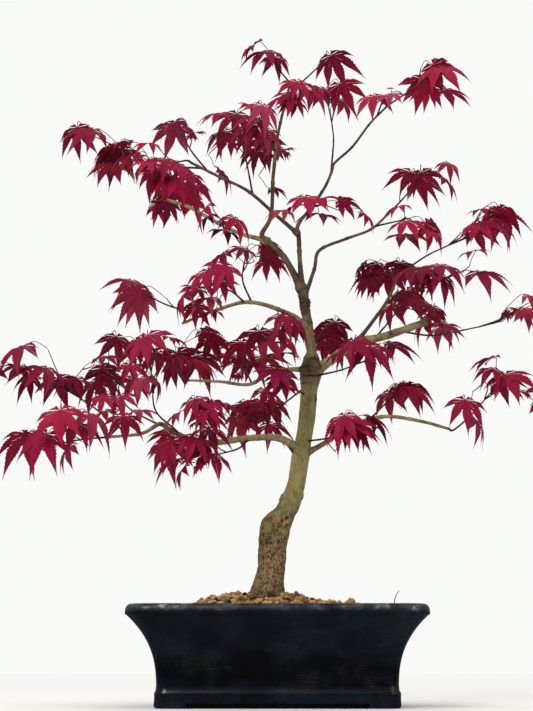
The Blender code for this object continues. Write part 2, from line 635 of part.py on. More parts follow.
def hang_leaf(rng, twig, order, turn, length):
    """The next leaf of a twig: pairs face each other, and each pair is turned from the last."""
    pair, second = divmod(order, 2)
    points, radii = twig
    run = sum((end - start).length for start, end in zip(points, points[1:]))
    share = max(FIRST_PAIR, 1 - (LAST_PAIR + pair * PAIR_SPACING) / run)
    node, along, _ = place_on(points, radii, share)
    side = along.cross(UP).normalized() if abs(along.z) < STEEP else Vector((1, 0, 0))
    other = along.cross(side)
    angle = turn + math.pi * second + math.pi / 2 * pair + rng.uniform(-PAIR_WANDER, PAIR_WANDER)
    out = side * math.cos(angle) + other * math.sin(angle)
    lean = along * rng.uniform(*LEAN_AHEAD) + out + UP * rng.uniform(*LEAN_UP)
    lean.normalize()
    size = length * rng.uniform(*LEAF_SIZE)
    joint = node + lean * length * rng.uniform(*STALK_LENGTH)
    level = Vector((lean.x, lean.y, 0)).normalized()
    level = Matrix.Rotation(rng.uniform(-LEAF_TURN, LEAF_TURN), 3, "Z") @ level
    pitch = math.radians(rng.uniform(*LEAF_PITCH))
    ahead = level * math.cos(pitch) - UP * math.sin(pitch)
    above = level * math.sin(pitch) + UP * math.cos(pitch)
    frame = Matrix((ahead, above.cross(ahead), above)).transposed()
    frame = frame @ Matrix.Rotation(math.radians(rng.uniform(-LEAF_ROLL, LEAF_ROLL)), 3, "X")
    elbow = joint - frame @ Vector((NOTCH_BACK * size + STALK_BEND, 0, 0))
    return Leaf([node, elbow, joint], frame, size)


def grow_mass(mass, stem, guards):
    """Twigs and leaves of one mass from its seed; what would leave its space or touch is skipped."""
    rng = random.Random(mass.seed)
    centre = Vector(mass.centre) * MM
    half = Vector(mass.half) * MM
    length = mass.length * MM
    twigs = [stem]
    leaves = []
    own = [tube_guard(*stem, skip=ROOT_SKIP)]
    whole = []
    middle = centre + UP * half.z * TWIG_LIFT
    for _ in range(TRIES * mass.twigs):
        if len(twigs) == mass.twigs:
            break
        spots = [middle + Vector([half[k] * TWIG_ROOM * rng.uniform(-1, 1) for k in range(3)])
                 for _ in range(TWIG_CHOICES)]
        ends = [twig[0][-1] for twig in twigs]
        end = max(spots, key=lambda spot: min((spot - tip).length for tip in ends))
        twig = twig_to(end, stem)
        shape = tube_guard(*twig)
        free = tube_guard(*twig, skip=ROOT_SKIP)
        if is_clear(shape, guards) and is_clear(free, own):
            twigs.append(twig)
            own.append(free)
            whole.append(shape)
    for k in range(mass.leaves):
        twig = twigs[k % len(twigs)]
        order = k // len(twigs)
        turn = random.Random(mass.seed * 100 + k % len(twigs)).uniform(0, math.tau)
        for _ in range(TRIES):
            leaf = hang_leaf(rng, twig, order, turn, length)
            node, elbow, joint = leaf.stalk
            folded = (elbow - node).normalized().dot(leaf.frame.col[0]) < SHARPEST_BEND
            if folded or not all(inside(tip, centre, half) for tip in blade(leaf)[0]):
                continue
            shape = guard(*blade(leaf, GUARD_GROW, GUARD_BLADE))
            stalk = tube_guard(leaf.stalk, [STALK_RADIUS])
            near, far = STALK_FREE
            free = tube_guard([node.lerp(elbow, near), elbow, elbow.lerp(joint, far)],
                              [STALK_RADIUS])
            if (is_clear(shape, guards + own) and is_clear(stalk, guards)
                    and is_clear(free, own)):
                leaves.append(leaf)
                own += [shape, free]
                whole += [shape, stalk]
                break
    return twigs, leaves, whole


def grow_foliage(axes):
    """Every mass in turn, each kept clear of limbs, stems and the masses before it."""
    stems = {mass.name: mass_stem(mass, axes) for mass in MASSES}
    shapes = {name: tube_guard(*stem) for name, stem in stems.items()}
    guards = [tube_guard(*axes[name]) for name in axes]
    grown = {}
    for mass in MASSES:
        others = [shape for name, shape in shapes.items() if name != mass.name]
        twigs, leaves, whole = grow_mass(mass, stems[mass.name], guards + others)
        guards += whole
        grown[mass.name] = (twigs, leaves)
    return grown


def keep_largest(mesh):
    """Drop loose scraps and sealed hollows, so that one skin is left."""
    work = bmesh.new()
    work.from_mesh(mesh)
    groups = []
    left = set(work.verts)
    while left:
        front = [left.pop()]
        group = set(front)
        while front:
            for edge in front.pop().link_edges:
                for vert in edge.verts:
                    if vert in left:
                        left.discard(vert)
                        group.add(vert)
                        front.append(vert)
        groups.append(group)
    groups.sort(key=len)
    scraps = [vert for group in groups[:-1] for vert in group]
    bmesh.ops.delete(work, geom=scraps, context="VERTS")
    work.to_mesh(mesh)
    work.free()


def make_mass(name, twigs, leaves):
    """One solid: the stem with its twigs, stalks and blades joined to it."""
    stem = add_object("leaves_" + name, *loft(tube_rings(*twigs[0], TWIG_SIDES)), "leaf")
    parts = [loft(tube_rings(*twig, TWIG_SIDES)) for twig in twigs[1:]]
    parts += [leaf_skin(leaf) for leaf in leaves]
    pool = bpy.data.collections.new(name)
    bpy.context.scene.collection.children.link(pool)
    for part in parts:
        piece = add_object("part", *part, "leaf")
        bpy.context.collection.objects.unlink(piece)
        pool.objects.link(piece)
    union = stem.modifiers.new("union", "BOOLEAN")
    union.operation = "UNION"
    union.solver = "EXACT"
    union.operand_type = "COLLECTION"
    union.collection = pool
    graph = bpy.context.evaluated_depsgraph_get()
    stem.data = bpy.data.meshes.new_from_object(stem.evaluated_get(graph))
    stem.modifiers.clear()
    for piece in list(pool.objects):
        bpy.data.objects.remove(piece)
    bpy.data.collections.remove(pool)
    keep_largest(stem.data)


def main():
    """Clear the scene and build the bonsai."""
    for old in list(bpy.data.objects):
        bpy.data.objects.remove(old)
    make_pot()
    make_soil()
    axes = {"trunk": trunk_axis()}
    make_trunk(*axes["trunk"])
    for name, limb in LIMBS.items():
        axes[name] = limb_axis(limb, axes)
    make_limbs(axes)
    for name, (twigs, leaves) in grow_foliage(axes).items():
        make_mass(name, twigs, leaves)


main()
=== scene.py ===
import json
import math
import random
from collections import namedtuple
from itertools import product

import bmesh
import bpy
from mathutils import Matrix, Vector, noise
from mathutils.bvhtree import BVHTree

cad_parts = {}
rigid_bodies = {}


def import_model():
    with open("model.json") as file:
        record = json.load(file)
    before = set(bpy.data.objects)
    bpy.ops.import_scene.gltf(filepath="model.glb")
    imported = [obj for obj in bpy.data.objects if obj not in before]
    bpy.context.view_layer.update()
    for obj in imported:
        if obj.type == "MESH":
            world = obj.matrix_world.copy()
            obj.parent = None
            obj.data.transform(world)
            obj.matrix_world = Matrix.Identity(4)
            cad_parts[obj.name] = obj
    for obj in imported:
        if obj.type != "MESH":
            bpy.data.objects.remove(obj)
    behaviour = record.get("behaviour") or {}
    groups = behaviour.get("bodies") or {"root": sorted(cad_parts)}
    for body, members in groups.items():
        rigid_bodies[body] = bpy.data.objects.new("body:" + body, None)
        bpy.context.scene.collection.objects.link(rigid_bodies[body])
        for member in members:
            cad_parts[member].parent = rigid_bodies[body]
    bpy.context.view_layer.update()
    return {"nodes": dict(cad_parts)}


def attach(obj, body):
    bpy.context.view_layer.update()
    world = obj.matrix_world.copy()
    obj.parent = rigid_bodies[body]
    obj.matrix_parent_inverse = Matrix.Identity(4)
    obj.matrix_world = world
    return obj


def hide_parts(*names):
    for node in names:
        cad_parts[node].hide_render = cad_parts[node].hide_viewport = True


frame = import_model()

# everything is in metres, on the CAD's own axes: +X along the pot, -Y its front, +Z up
mm = 0.001
up = Vector((0, 0, 1))
print("frame loaded:", len(frame["nodes"]), "solids")

# the camera comes first, so the rest can be judged through it
cameraSetup = {
    "place": (-0.009, -1.695, 0.048),
    "tiltUp": 8.5,              # degrees
    "lens": 99.5,               # mm on a 36 mm sensor, along the long side
}
cameraData = bpy.data.cameras.new("camera")
cameraData.lens = cameraSetup["lens"]
cameraData.sensor_width = 36
camera = bpy.data.objects.new("camera", cameraData)
camera.location = cameraSetup["place"]
camera.rotation_euler = (math.radians(90 + cameraSetup["tiltUp"]), 0, 0)
bpy.context.collection.objects.link(camera)
bpy.context.scene.camera = camera


def linear(hexColour):
    # sRGB hex to the linear values that Blender mixes
    channels = [int(hexColour[k:k + 2], 16) / 255 for k in (1, 3, 5)]
    return (*[c / 12.92 if c <= 0.04045 else ((c + 0.055) / 1.055) ** 2.4 for c in channels], 1)


def socketOf(node, name):
    # by number, or by name among those in use, since Mix has many of one name
    if isinstance(name, int):
        return node.inputs[name]
    return next(socket for socket in node.inputs if socket.enabled and socket.name == name)


def feed(node, sources):
    # links what flows into a node: sockets, or nodes that stand for their first output in use
    for name, source in sources.items():
        if hasattr(source, "outputs"):
            source = next(output for output in source.outputs if output.enabled)
        node.id_data.links.new(source, socketOf(node, name))


def addNode(tree, kind, settings=None, sources=None):
    # a node with its properties or socket values, and what feeds it
    node = tree.nodes.new("ShaderNode" + kind)
    for name, value in (settings or {}).items():
        if name == "stops":
            ramp = node.color_ramp
            while len(ramp.elements) < len(value):
                ramp.elements.new(0.5)
            for element, (position, colour) in zip(ramp.elements, value):
                element.position = position
                element.color = linear(colour)
        elif isinstance(name, int) or name in node.inputs:
            socketOf(node, name).default_value = value
        else:
            setattr(node, name, value)
    feed(node, sources or {})
    return node


def span(fromLow, fromHigh, toLow=0.0, toHigh=1.0):
    # settings of a range that is mapped to another
    return {"From Min": fromLow, "From Max": fromHigh, "To Min": toLow, "To Max": toHigh}


def perSize(size, **settings):
    # settings of a pattern whose marks are this many mm across
    return {"Scale": 1 / (size * mm), **settings}


multiply = {"data_type": "RGBA", "blend_type": "MULTIPLY"}


def startMaterial(name, settings):
    # a Principled surface with the values that are the same all over it
    made = bpy.data.materials.new(name)
    made.use_nodes = True
    tree = made.node_tree
    shader = tree.nodes["Principled BSDF"]
    for socket, value in settings.items():
        shader.inputs[socket].default_value = value
    place = addNode(tree, "TexCoord").outputs["Object"]
    return made, tree, shader, place


def addMesh(name, verts, faces, materials, faceMaterial=None, smooth=True):
    mesh = bpy.data.meshes.new(name)
    mesh.from_pydata(verts, [], faces)
    for used in materials:
        mesh.materials.append(used)
    if faceMaterial:
        mesh.polygons.foreach_set("material_index", faceMaterial)
    if smooth:
        mesh.shade_smooth()
    mesh.update()
    made = bpy.data.objects.new(name, mesh)
    bpy.context.collection.objects.link(made)
    return made


def loft(rings):
    # closed skin over rings of equal count, with flat ends
    count = len(rings[0])
    verts = [point for ring in rings for point in ring]
    top = len(verts) - count
    faces = [tuple(reversed(range(count))), tuple(range(top, top + count))]
    for low in range(0, top, count):
        for k in range(count):
            after = (k + 1) % count
            faces.append((low + k, low + after, low + count + after, low + count + k))
    return verts, faces


def sweptTube(points, radii, sides):
    return loft(tubeRings(points, radii, sides))


def smoothstep(low, high, value):
    share = min(1.0, max(0.0, (value - low) / (high - low)))
    return share * share * (3 - 2 * share)


# the CAD's own rule and numbers, so every limb and spray starts where its solid does
trunkStations = (       # height, centre in x, radius, mm
    (90.3, -9.0, 14.6), (98, -9.0, 13.6), (115, -5.0, 12.1), (132, -4.0, 12.2), (149, -2.0, 13.2),
    (158, 0.0, 14.2), (164, 4.5, 12.8), (169, 9.0, 10.4), (178, 13.0, 9.1), (193, 17.5, 7.6),
    (210, 20.0, 7.9), (223, 22.4, 7.0), (245, 26.0, 7.2), (270, 28.0, 7.3), (282, 29.0, 8.8),
    (290, 29.2, 9.9), (298, 29.4, 8.2), (305, 30.0, 4.6), (322, 28.0, 4.0), (346, 24.4, 4.1),
    (358, 22.8, 4.2), (366, 21.0, 3.4),
)
trunkSway = 3.0         # bows forward and back by this much
Limb = namedtuple("Limb", "parent at route base tip")
limbs = {               # parent, share of its length, route (mm), radius at base and tip (mm)
    "bough_low_left": Limb("trunk", 0.468, ((3, -4, 228), (-23, -10, 228), (-56, -18, 223),
        (-79, -25, 227), (-95, -30, 235)), 3.3, 2.1),
    "bough_low_left_end": Limb("bough_low_left", 1, ((-115, -36, 229), (-141, -46, 225)), 1.8, 1.2),
    "bough_left": Limb("trunk", 0.725, ((-2, 18, 290), (-24, 30, 280), (-50, 42, 284),
        (-78, 55, 287)), 2, 1.1),
    "bough_mid_left": Limb("trunk", 0.856, ((11, -6, 337), (-23, -20, 345), (-53, -30, 336),
        (-81, -40, 323)), 2.2, 1.2),
    "limb_upper_left": Limb("trunk", 0.975, ((7, 2, 388), (-9, 5, 406)), 3, 2.5),
    "leader": Limb("limb_upper_left", 1, ((-5, 4, 427), (-3, 0, 463), (1, -3, 498),
        (11, -5, 541)), 2, 1.1),
    "limb_high_left": Limb("limb_upper_left", 0.95, ((-33, 18, 414), (-55, 34, 428), (-78, 48, 444),
        (-99, 60, 454)), 2, 1.3),
    "limb_centre": Limb("trunk", 1, ((20, -4, 390), (19, -8, 410)), 2.2, 1.9),
    "limb_centre_right": Limb("limb_centre", 1, ((31, 6, 435), (44, 20, 458),
        (51, 30, 477)), 1.6, 1.2),
    "limb_centre_left": Limb("limb_centre", 0.94, ((-2, -16, 424), (-25, -30, 441), (-49, -44, 450),
        (-74, -56, 460)), 1.7, 1.1),
    "limb_high_right": Limb("limb_centre_right", 1, ((68, 22, 494), (83, 6, 511),
        (96, -10, 521)), 1.2, 0.9),
    "limb_thin_right": Limb("trunk", 0.945, ((33, 8, 379), (38, 16, 398), (61, 30, 411),
        (85, 44, 423), (102, 55, 440)), 1.7, 1.1),
    "limb_right": Limb("trunk", 0.711, ((46, -3, 296), (69, -8, 311), (94, -16, 316),
        (130, -28, 327)), 4.2, 3),
    "limb_right_rise": Limb("limb_right", 0.418, ((83, -14, 329), (96, -22, 347),
        (103, -30, 363)), 1.7, 1.2),
    "bough_low_right": Limb("trunk", 0.456, ((41, 8, 225), (66, 18, 242), (96, 28, 251),
        (128, 38, 248), (154, 46, 242)), 2.3, 1.3),
}
limbRule = {            # metres
    "gap": 0.0003,              # between a limb's end and the next one
    "step": 0.013,              # between rings
    "rise": 0.006,              # how far a limb carries on its parent's line before it turns
    "collar": 0.30,             # swelling at the root, as a share of the radius
    "collarLength": 0.007,
}


def smoothRoute(knots, step):
    # a curve through the knots, with a point about every step
    ends = [2 * knots[0] - knots[1], *knots, 2 * knots[-1] - knots[-2]]
    points = []
    for before, start, end, after in zip(ends, ends[1:], ends[2:], ends[3:]):
        count = max(1, round((end - start).length / step))
        for k in range(count):
            t = k / count
            points.append(0.5 * (2 * start + (end - before) * t
                                 + (2 * before - 5 * start + 4 * end - after) * t ** 2
                                 + (3 * start - before - 3 * end + after) * t ** 3))
    return points + [knots[-1]]


def tubeRings(points, radii, sides):
    # rings square to a run of points, without twist between them
    rings = []
    side = None
    for i, point in enumerate(points):
        along = (points[min(i + 1, len(points) - 1)] - points[max(i - 1, 0)]).normalized()
        side = along.orthogonal() if side is None else side - along * side.dot(along)
        side.normalize()
        other = along.cross(side)
        turns = [math.tau * k / sides for k in range(sides)]
        rings.append([point + radii[i] * (side * math.cos(a) + other * math.sin(a)) for a in turns])
    return rings


def runAlong(points):
    # distance from the start at each point
    run = [0.0]
    for start, end in zip(points, points[1:]):
        run.append(run[-1] + (end - start).length)
    return run


def taper(points, base, tip, collar=0.0):
    run = runAlong(points)
    return [(base + (tip - base) * s / run[-1])
            * (1 + collar * math.exp(-s / limbRule["collarLength"])) for s in run]


def placeOn(points, radii, share):
    # point, direction and radius at a share of a route's length
    steps = [(end - start).length for start, end in zip(points, points[1:])]
    left = share * sum(steps)
    for i, step in enumerate(steps):
        if left <= step or i == len(steps) - 1:
            t = min(left / step, 1.0)
            direction = (points[i + 1] - points[i]).normalized()
            radius = radii[i] + (radii[i + 1] - radii[i]) * t
            return points[i].lerp(points[i + 1], t), direction, radius
        left -= step


def trunkAxis():
    low, high = trunkStations[0][0], trunkStations[-1][0]
    points = [Vector((x, trunkSway * math.sin(math.tau * (z - low) / (high - low)), z)) * mm
              for z, x, _ in trunkStations]
    return points, [radius * mm for _, _, radius in trunkStations]


def limbKnots(limb, axes):
    start, along, _ = placeOn(*axes[limb.parent], limb.at)
    knots = [start] + [Vector(p) * mm for p in limb.route]
    if limb.at == 1:
        along = up if limb.parent == "trunk" else along
        knots = [start + along * limbRule["gap"], start + along * limbRule["rise"]] + knots[1:]
    return knots


axes = {"trunk": trunkAxis()}
for name, limb in limbs.items():
    route = smoothRoute(limbKnots(limb, axes), limbRule["step"])
    swell = limbRule["collar"] if limb.at < 1 else 0.0
    axes[name] = (route, taper(route, limb.base * mm, limb.tip * mm, swell))

# old flaking plates low on the trunk, smooth olive young bark above
barkRelief = {          # mm
    "ring": 1.2,                # between rings up the trunk
    "sides": 84,
    "flare": 0.26, "flareHeight": 24, "flareFade": 1.7,
    "rootRidges": 5, "ridgeDrift": 0.6, "ridgeSharpness": 1.5,
    "plateSize": 4.5, "plateDepth": 0.75, "plateSquat": 0.62,
    "plateNoise": (0.9, 2.1, 3), "plateMean": 0.1,
    "grainSize": 1.7, "grainDepth": 0.28, "grainSquat": 0.55,
    "lumpSize": 11, "lumpDepth": 0.45,
    "oldBarkTop": (159, 171),   # heights between which the old bark ends
    "youngDepth": 0.14,
    "knots": (                  # angle round the trunk (270 is front), height, size, depth
        (300, 157, 4.4, 1.8), (196, 178, 2.8, 1.5), (344, 178, 2.4, 1.1), (250, 197, 1.6, .5),
        (330, 262, 2.0, .7), (262, 286, 2.4, 1.0), (205, 288, 2.8, 1.3), (318, 291, 2.6, 1.2),
        (180, 355, 2.0, 1.1), (285, 352, 1.9, .9), (20, 349, 2.1, 1.0), (240, 340, 1.4, .6),
        (100, 165, 3.2, 1.1), (60, 232, 2.0, .7), (140, 300, 2.0, .8)),
    "knotRelief": ((0.85, 0.38, 1.0), (0.0, 0.42, -0.9)),       # a swollen ring round a pit
    "knotReach": 2.6,
    "hollows": (                # dents, given as the knots are
        (180, 161, 8.5, 1.1), (180, 297, 7, 1.9), (188, 290, 7, 0.6), (0, 298, 6, 0.7)),
    "gnarls": (                 # rough, swollen bands: height, reach up and down, depth
        (218, 5, 0.5), (287, 10, 1.0), (329, 3.2, 0.8), (346, 5.5, 1.2), (360, 6, 0.7)),
    "gnarlSize": 4.2, "gnarlStretch": 1.5, "gnarlNoise": (0.8, 2.2, 3),
    "gnarlMix": (0.35, 1.1, 0.35),      # even swelling, roughness and creases
    "creases": (2.1, 2.5, 8),           # how often, how crooked and the size of the crooks
    "scarRings": (218.5, 221, 274, 276.5, 299, 302, 343, 349),      # heights of bud scars
    "scarWidth": 0.75, "scarTilt": 0.6, "scarRelief": ((0, 1, 0.30), (1.6, 1, -0.22)),
}


def trunkRadius(angle, height):
    # radius in mm at an angle and height, from the stations and the root flare
    look = barkRelief
    for (low, _, lowRadius), (high, _, highRadius) in zip(trunkStations, trunkStations[1:]):
        if height <= high:
            share = smoothstep(low, high, height) * 0.5 + 0.5 * (height - low) / (high - low)
            radius = lowRadius + (highRadius - lowRadius) * share
            break
    above = (height - trunkStations[0][0]) / look["flareHeight"]
    fade = max(0.0, 1 - above) ** look["flareFade"]
    drift = look["ridgeDrift"] * math.sin(2 * angle)
    ridge = 0.5 + 0.5 * math.cos(look["rootRidges"] * angle + drift)
    return radius * (1 + look["flare"] * fade * ridge ** look["ridgeSharpness"])


def hill(value, middle, width):
    # a bell-shaped rise, 1 at its middle
    return math.exp(-((value - middle) / width) ** 2)


def relief(value, hills):
    # several hills or dips together, each with its middle, width and rise
    return sum(rise * hill(value, middle, width) for middle, width, rise in hills)


def stretched(spot, upright, size):
    # a place in a noise pattern that is longer or shorter up the trunk than across it
    return Vector((spot.x, spot.y, spot.z * upright)) / size


def awayFrom(mark, angle, height, radius):
    # how far a place is from the middle of a knot or dent, as a share of its size
    turn, at, size, _ = mark
    wide = math.radians((math.degrees(angle) - turn + 180) % 360 - 180) * radius
    return math.hypot(wide, height - at) / size


def barkRadius(angle, height):
    # the trunk's radius in mm with all its relief
    look = barkRelief
    radius = trunkRadius(angle, height)
    spot = Vector((math.cos(angle), math.sin(angle), 0)) * radius + up * height
    old = 1 - smoothstep(*look["oldBarkTop"], height)
    plates = noise.fractal(stretched(spot, look["plateSquat"], look["plateSize"]),
                           *look["plateNoise"]) - look["plateMean"]
    grain = noise.noise(stretched(spot, look["grainSquat"], look["grainSize"]))
    radius += old * (look["plateDepth"] * plates + look["grainDepth"] * grain)
    lump = noise.noise(spot / look["lumpSize"])
    radius += (1 - old) * (look["youngDepth"] * grain + look["lumpDepth"] * lump)
    for mark in look["knots"]:
        away = awayFrom(mark, angle, height, radius)
        if away < look["knotReach"]:
            radius += mark[3] * relief(away, look["knotRelief"])
    for mark in look["hollows"]:
        radius -= mark[3] * hill(awayFrom(mark, angle, height, radius), 0, 1)
    rough = noise.fractal(stretched(spot, look["gnarlStretch"], look["gnarlSize"]),
                          *look["gnarlNoise"])
    often, crooked, size = look["creases"]
    crease = math.sin(often * height + crooked * noise.noise(spot / size))
    even, roughness, creasing = look["gnarlMix"]
    for at, reach, depth in look["gnarls"]:
        radius += hill(height, at, reach) * depth * (even + roughness * rough + creasing * crease)
    for at in look["scarRings"]:
        wave = (height - at - look["scarTilt"] * math.sin(angle * 2 + at)) / look["scarWidth"]
        radius += relief(wave, look["scarRelief"])
    return radius


def trunkSurface():
    points, _ = axes["trunk"]
    low, high = trunkStations[0][0], trunkStations[-1][0]
    fine = smoothRoute(points, 2 * mm)
    heights = [p.z / mm for p in fine]
    turns = [math.tau * k / barkRelief["sides"] for k in range(barkRelief["sides"])]
    count = int((high - low) / barkRelief["ring"])
    rings = []
    for level in range(count + 1):
        height = low + (high - low) * level / count
        i = max(k for k, z in enumerate(heights) if z <= height + 0.01)
        j = min(i + 1, len(fine) - 1)
        t = 0 if i == j else (height - heights[i]) / (heights[j] - heights[i])
        centre = fine[i].lerp(fine[j], t)
        rings.append([centre + Vector((math.cos(a), math.sin(a), 0)) * barkRadius(a, height) * mm
                      for a in turns])
    return loft(rings)


limbRelief = {          # mm
    "step": 1.6, "sides": 20,
    "brown": (                  # younger limbs, with browner bark
        "limb_upper_left", "limb_centre", "limb_centre_right", "limb_centre_left",
        "limb_thin_right", "limb_high_right", "limb_right_rise", "leader"),
    "lumpSize": 6.0, "lumpDepth": 0.16, "grainSize": 1.3, "grainDepth": 0.07,
    "nodeSpacing": 27, "nodeShift": 9,          # scars where old leaf pairs sat
    "nodeRelief": ((0, 1.3, 0.45), (2.2, 0.8, -0.12)),
    "collarReach": 5.0,         # how far the branch collar spreads
    "collarSwell": 0.8,
    "rootDepth": 4, "blend": 20,        # how a limb sits in and grows out of its parent's tip
    "wired": "bough_low_left",  # has old wire scars: from, to, pitch and depth
    "wireTurns": (26, 62, 7.2), "wireDepth": 0.55, "wireWidth": 0.9,
}


def limbSurface(name):
    # a limb's skin from inside its parent to its tip
    look = limbRelief
    limb = limbs[name]
    atTip = limb.at == 1
    knots = limbKnots(limb, axes)
    if atTip:
        knots[0] = knots[0] - (knots[1] - knots[0]).normalized() * (look["rootDepth"] * mm)
    points = smoothRoute(knots, look["step"] * mm)
    run = runAlong(points)
    radii = taper(points, limb.base * mm, limb.tip * mm)
    parentRadius = 0.0
    if atTip:
        tipRadius = axes[limb.parent][1][-1]
        radii = [r + (tipRadius - r) * max(0.0, 1 - s / (look["blend"] * mm))
                 for r, s in zip(radii, run)]
    else:
        _, _, parentRadius = placeOn(*axes[limb.parent], limb.at)
    rings = tubeRings(points, radii, look["sides"])
    shift = Vector((len(name) * 3.1, limb.base * 7, 0))
    wireStart, wireEnd, pitch = look["wireTurns"]
    for i, (point, ring) in enumerate(zip(points, rings)):
        s = run[i] / mm
        beyond = max(0.0, run[i] - parentRadius * 0.8) / mm
        collar = 0.0 if atTip else look["collarSwell"] * math.exp(-beyond / look["collarReach"])
        node = (s + look["nodeShift"]) % look["nodeSpacing"] - look["nodeSpacing"] / 2
        bump = relief(node, look["nodeRelief"])
        for k, vert in enumerate(ring):
            out = (vert - point).normalized()
            spot = vert / mm + shift
            rise = radii[i] * collar / mm + bump * min(1.0, radii[i] / mm / 2)
            rise += look["lumpDepth"] * noise.noise(spot / look["lumpSize"]) * radii[i] / mm / 1.5
            rise += look["grainDepth"] * noise.noise(spot / look["grainSize"])
            if name == look["wired"] and wireStart < s < wireEnd:
                phase = (s / pitch - k / look["sides"]) % 1 - 0.5
                rise -= look["wireDepth"] * hill(phase * pitch, 0, look["wireWidth"])
            ring[k] = vert + out * rise * mm
    return loft(rings)


def joinMeshes(parts):
    # verts and faces of several meshes in one
    verts, faces = [], []
    for partVerts, partFaces in parts:
        start = len(verts)
        verts += partVerts
        faces += [tuple(i + start for i in face) for face in partFaces]
    return verts, faces


barkMarks = {           # what every bark has
    "stretch": (1, 1, 0.55),            # its marks run along the wood
    "patches": {"Detail": 5, "Roughness": 0.62},
    "pits": {"Detail": 3, "Roughness": 0.7},
    "wander": 0.022,                    # how far a band's edge strays, m
    "mottle": ((0.28, "#a39a86"), (0.5, "#e6e6dc"), (0.68, "#ffffff")), "mottleStrength": 0.9,
    "plates": {"Detail": 4, "Roughness": 0.75, "Distortion": 0.6}, "plateStretch": (1, 1, 0.8),
    "cracks": ((0.36, "#5f5040"), (0.46, "#a89a8c"), (0.54, "#ffffff"), (0.75, "#fff2da")),
    "markWander": 1.1, "markEdge": (1.0, 1.75),       # shares of a mark's size
    "flecks": ((0.36, "#5f5a54"), (0.5, "#ffffff"), (0.72, "#ffffff")),
}


def trunkColour(tree, place, patches, look):
    # the bark's age shows in bands up the trunk, with ragged edges, and old plates crack
    marks = barkMarks
    height = addNode(tree, "SeparateXYZ", None, {"Vector": place}).outputs["Z"]
    ragged = addNode(tree, "Math", {"operation": "MULTIPLY_ADD", 1: marks["wander"]},
                     {0: patches, 2: height})
    low, high = look["heights"][0][0], look["heights"][-1][0]
    shift = marks["wander"] / 2
    band = addNode(tree, "MapRange", span(low * mm + shift, high * mm + shift), {"Value": ragged})
    stops = tuple(((z - low) / (high - low), colour) for z, colour in look["heights"])
    colour = addNode(tree, "ValToRGB", {"stops": stops}, {"Fac": band})
    mottle = addNode(tree, "ValToRGB", {"stops": marks["mottle"]}, {"Fac": patches})
    colour = addNode(tree, "Mix", {**multiply, "Factor": marks["mottleStrength"]},
                     {"A": colour, "B": mottle})
    oldShare = addNode(tree, "MapRange", span(*[z * mm for z in look["oldEdge"]], 1.0, 0.0),
                       {"Value": ragged})
    squat = addNode(tree, "Mapping", {"Scale": marks["plateStretch"]}, {"Vector": place})
    plates = addNode(tree, "TexNoise", perSize(look["oldPits"], **marks["plates"]),
                     {"Vector": squat})
    cracked = addNode(tree, "ValToRGB", {"stops": marks["cracks"]}, {"Fac": plates})
    return addNode(tree, "Mix", multiply, {"Factor": oldShare, "A": colour, "B": cracked})


def makeBark(name, look):
    # living bark, dielectric, IOR 1.5: dull and pitted, mottled with algae green and stains, with
    # painted shade dark in its folds, knots and forks
    marks = barkMarks
    made, tree, shader, place = startMaterial(name, {
        "IOR": 1.5, "Metallic": 0.0, "Specular IOR Level": look["specular"]})
    stretch = addNode(tree, "Mapping", {"Scale": marks["stretch"]}, {"Vector": place})
    patches = addNode(tree, "TexNoise", perSize(look["patch"], **marks["patches"]),
                      {"Vector": stretch})
    pits = addNode(tree, "TexNoise", perSize(look["pits"], **marks["pits"]), {"Vector": stretch})
    if "heights" in look:
        colour = trunkColour(tree, place, patches, look)
    else:
        colour = addNode(tree, "ValToRGB", {"stops": look["skin"]}, {"Fac": patches})
    # each mark is a real stain or a patch of painted shade, faded out round its middle
    for (x, y, z), wide, tall, markColour, strength in look["stainsAndShade"]:
        near = addNode(tree, "Mapping", {
            "Location": (-x / wide, -y / wide, -z / tall),
            "Scale": (1 / (wide * mm), 1 / (wide * mm), 1 / (tall * mm))}, {"Vector": place})
        away = addNode(tree, "VectorMath", {"operation": "LENGTH"}, {0: near})
        away = addNode(tree, "Math", {"operation": "MULTIPLY_ADD", 1: marks["markWander"]},
                       {0: pits, 2: away})
        share = addNode(tree, "MapRange", span(*marks["markEdge"], strength, 0.0), {"Value": away})
        colour = addNode(tree, "Mix", {"data_type": "RGBA", "B": linear(markColour)},
                         {"Factor": share, "A": colour})
    flecks = addNode(tree, "ValToRGB", {"stops": marks["flecks"]}, {"Fac": pits})
    colour = addNode(tree, "Mix", {**multiply, "Factor": look["fleckStrength"]},
                     {"A": colour, "B": flecks})
    rough = addNode(tree, "MapRange", span(0.0, 1.0, *look["roughness"]), {"Value": patches})
    bump = addNode(tree, "Bump", {"Distance": look["bumpDepth"] * mm}, {"Height": pits})
    feed(shader, {"Base Color": colour, "Roughness": rough, "Normal": bump})
    return made


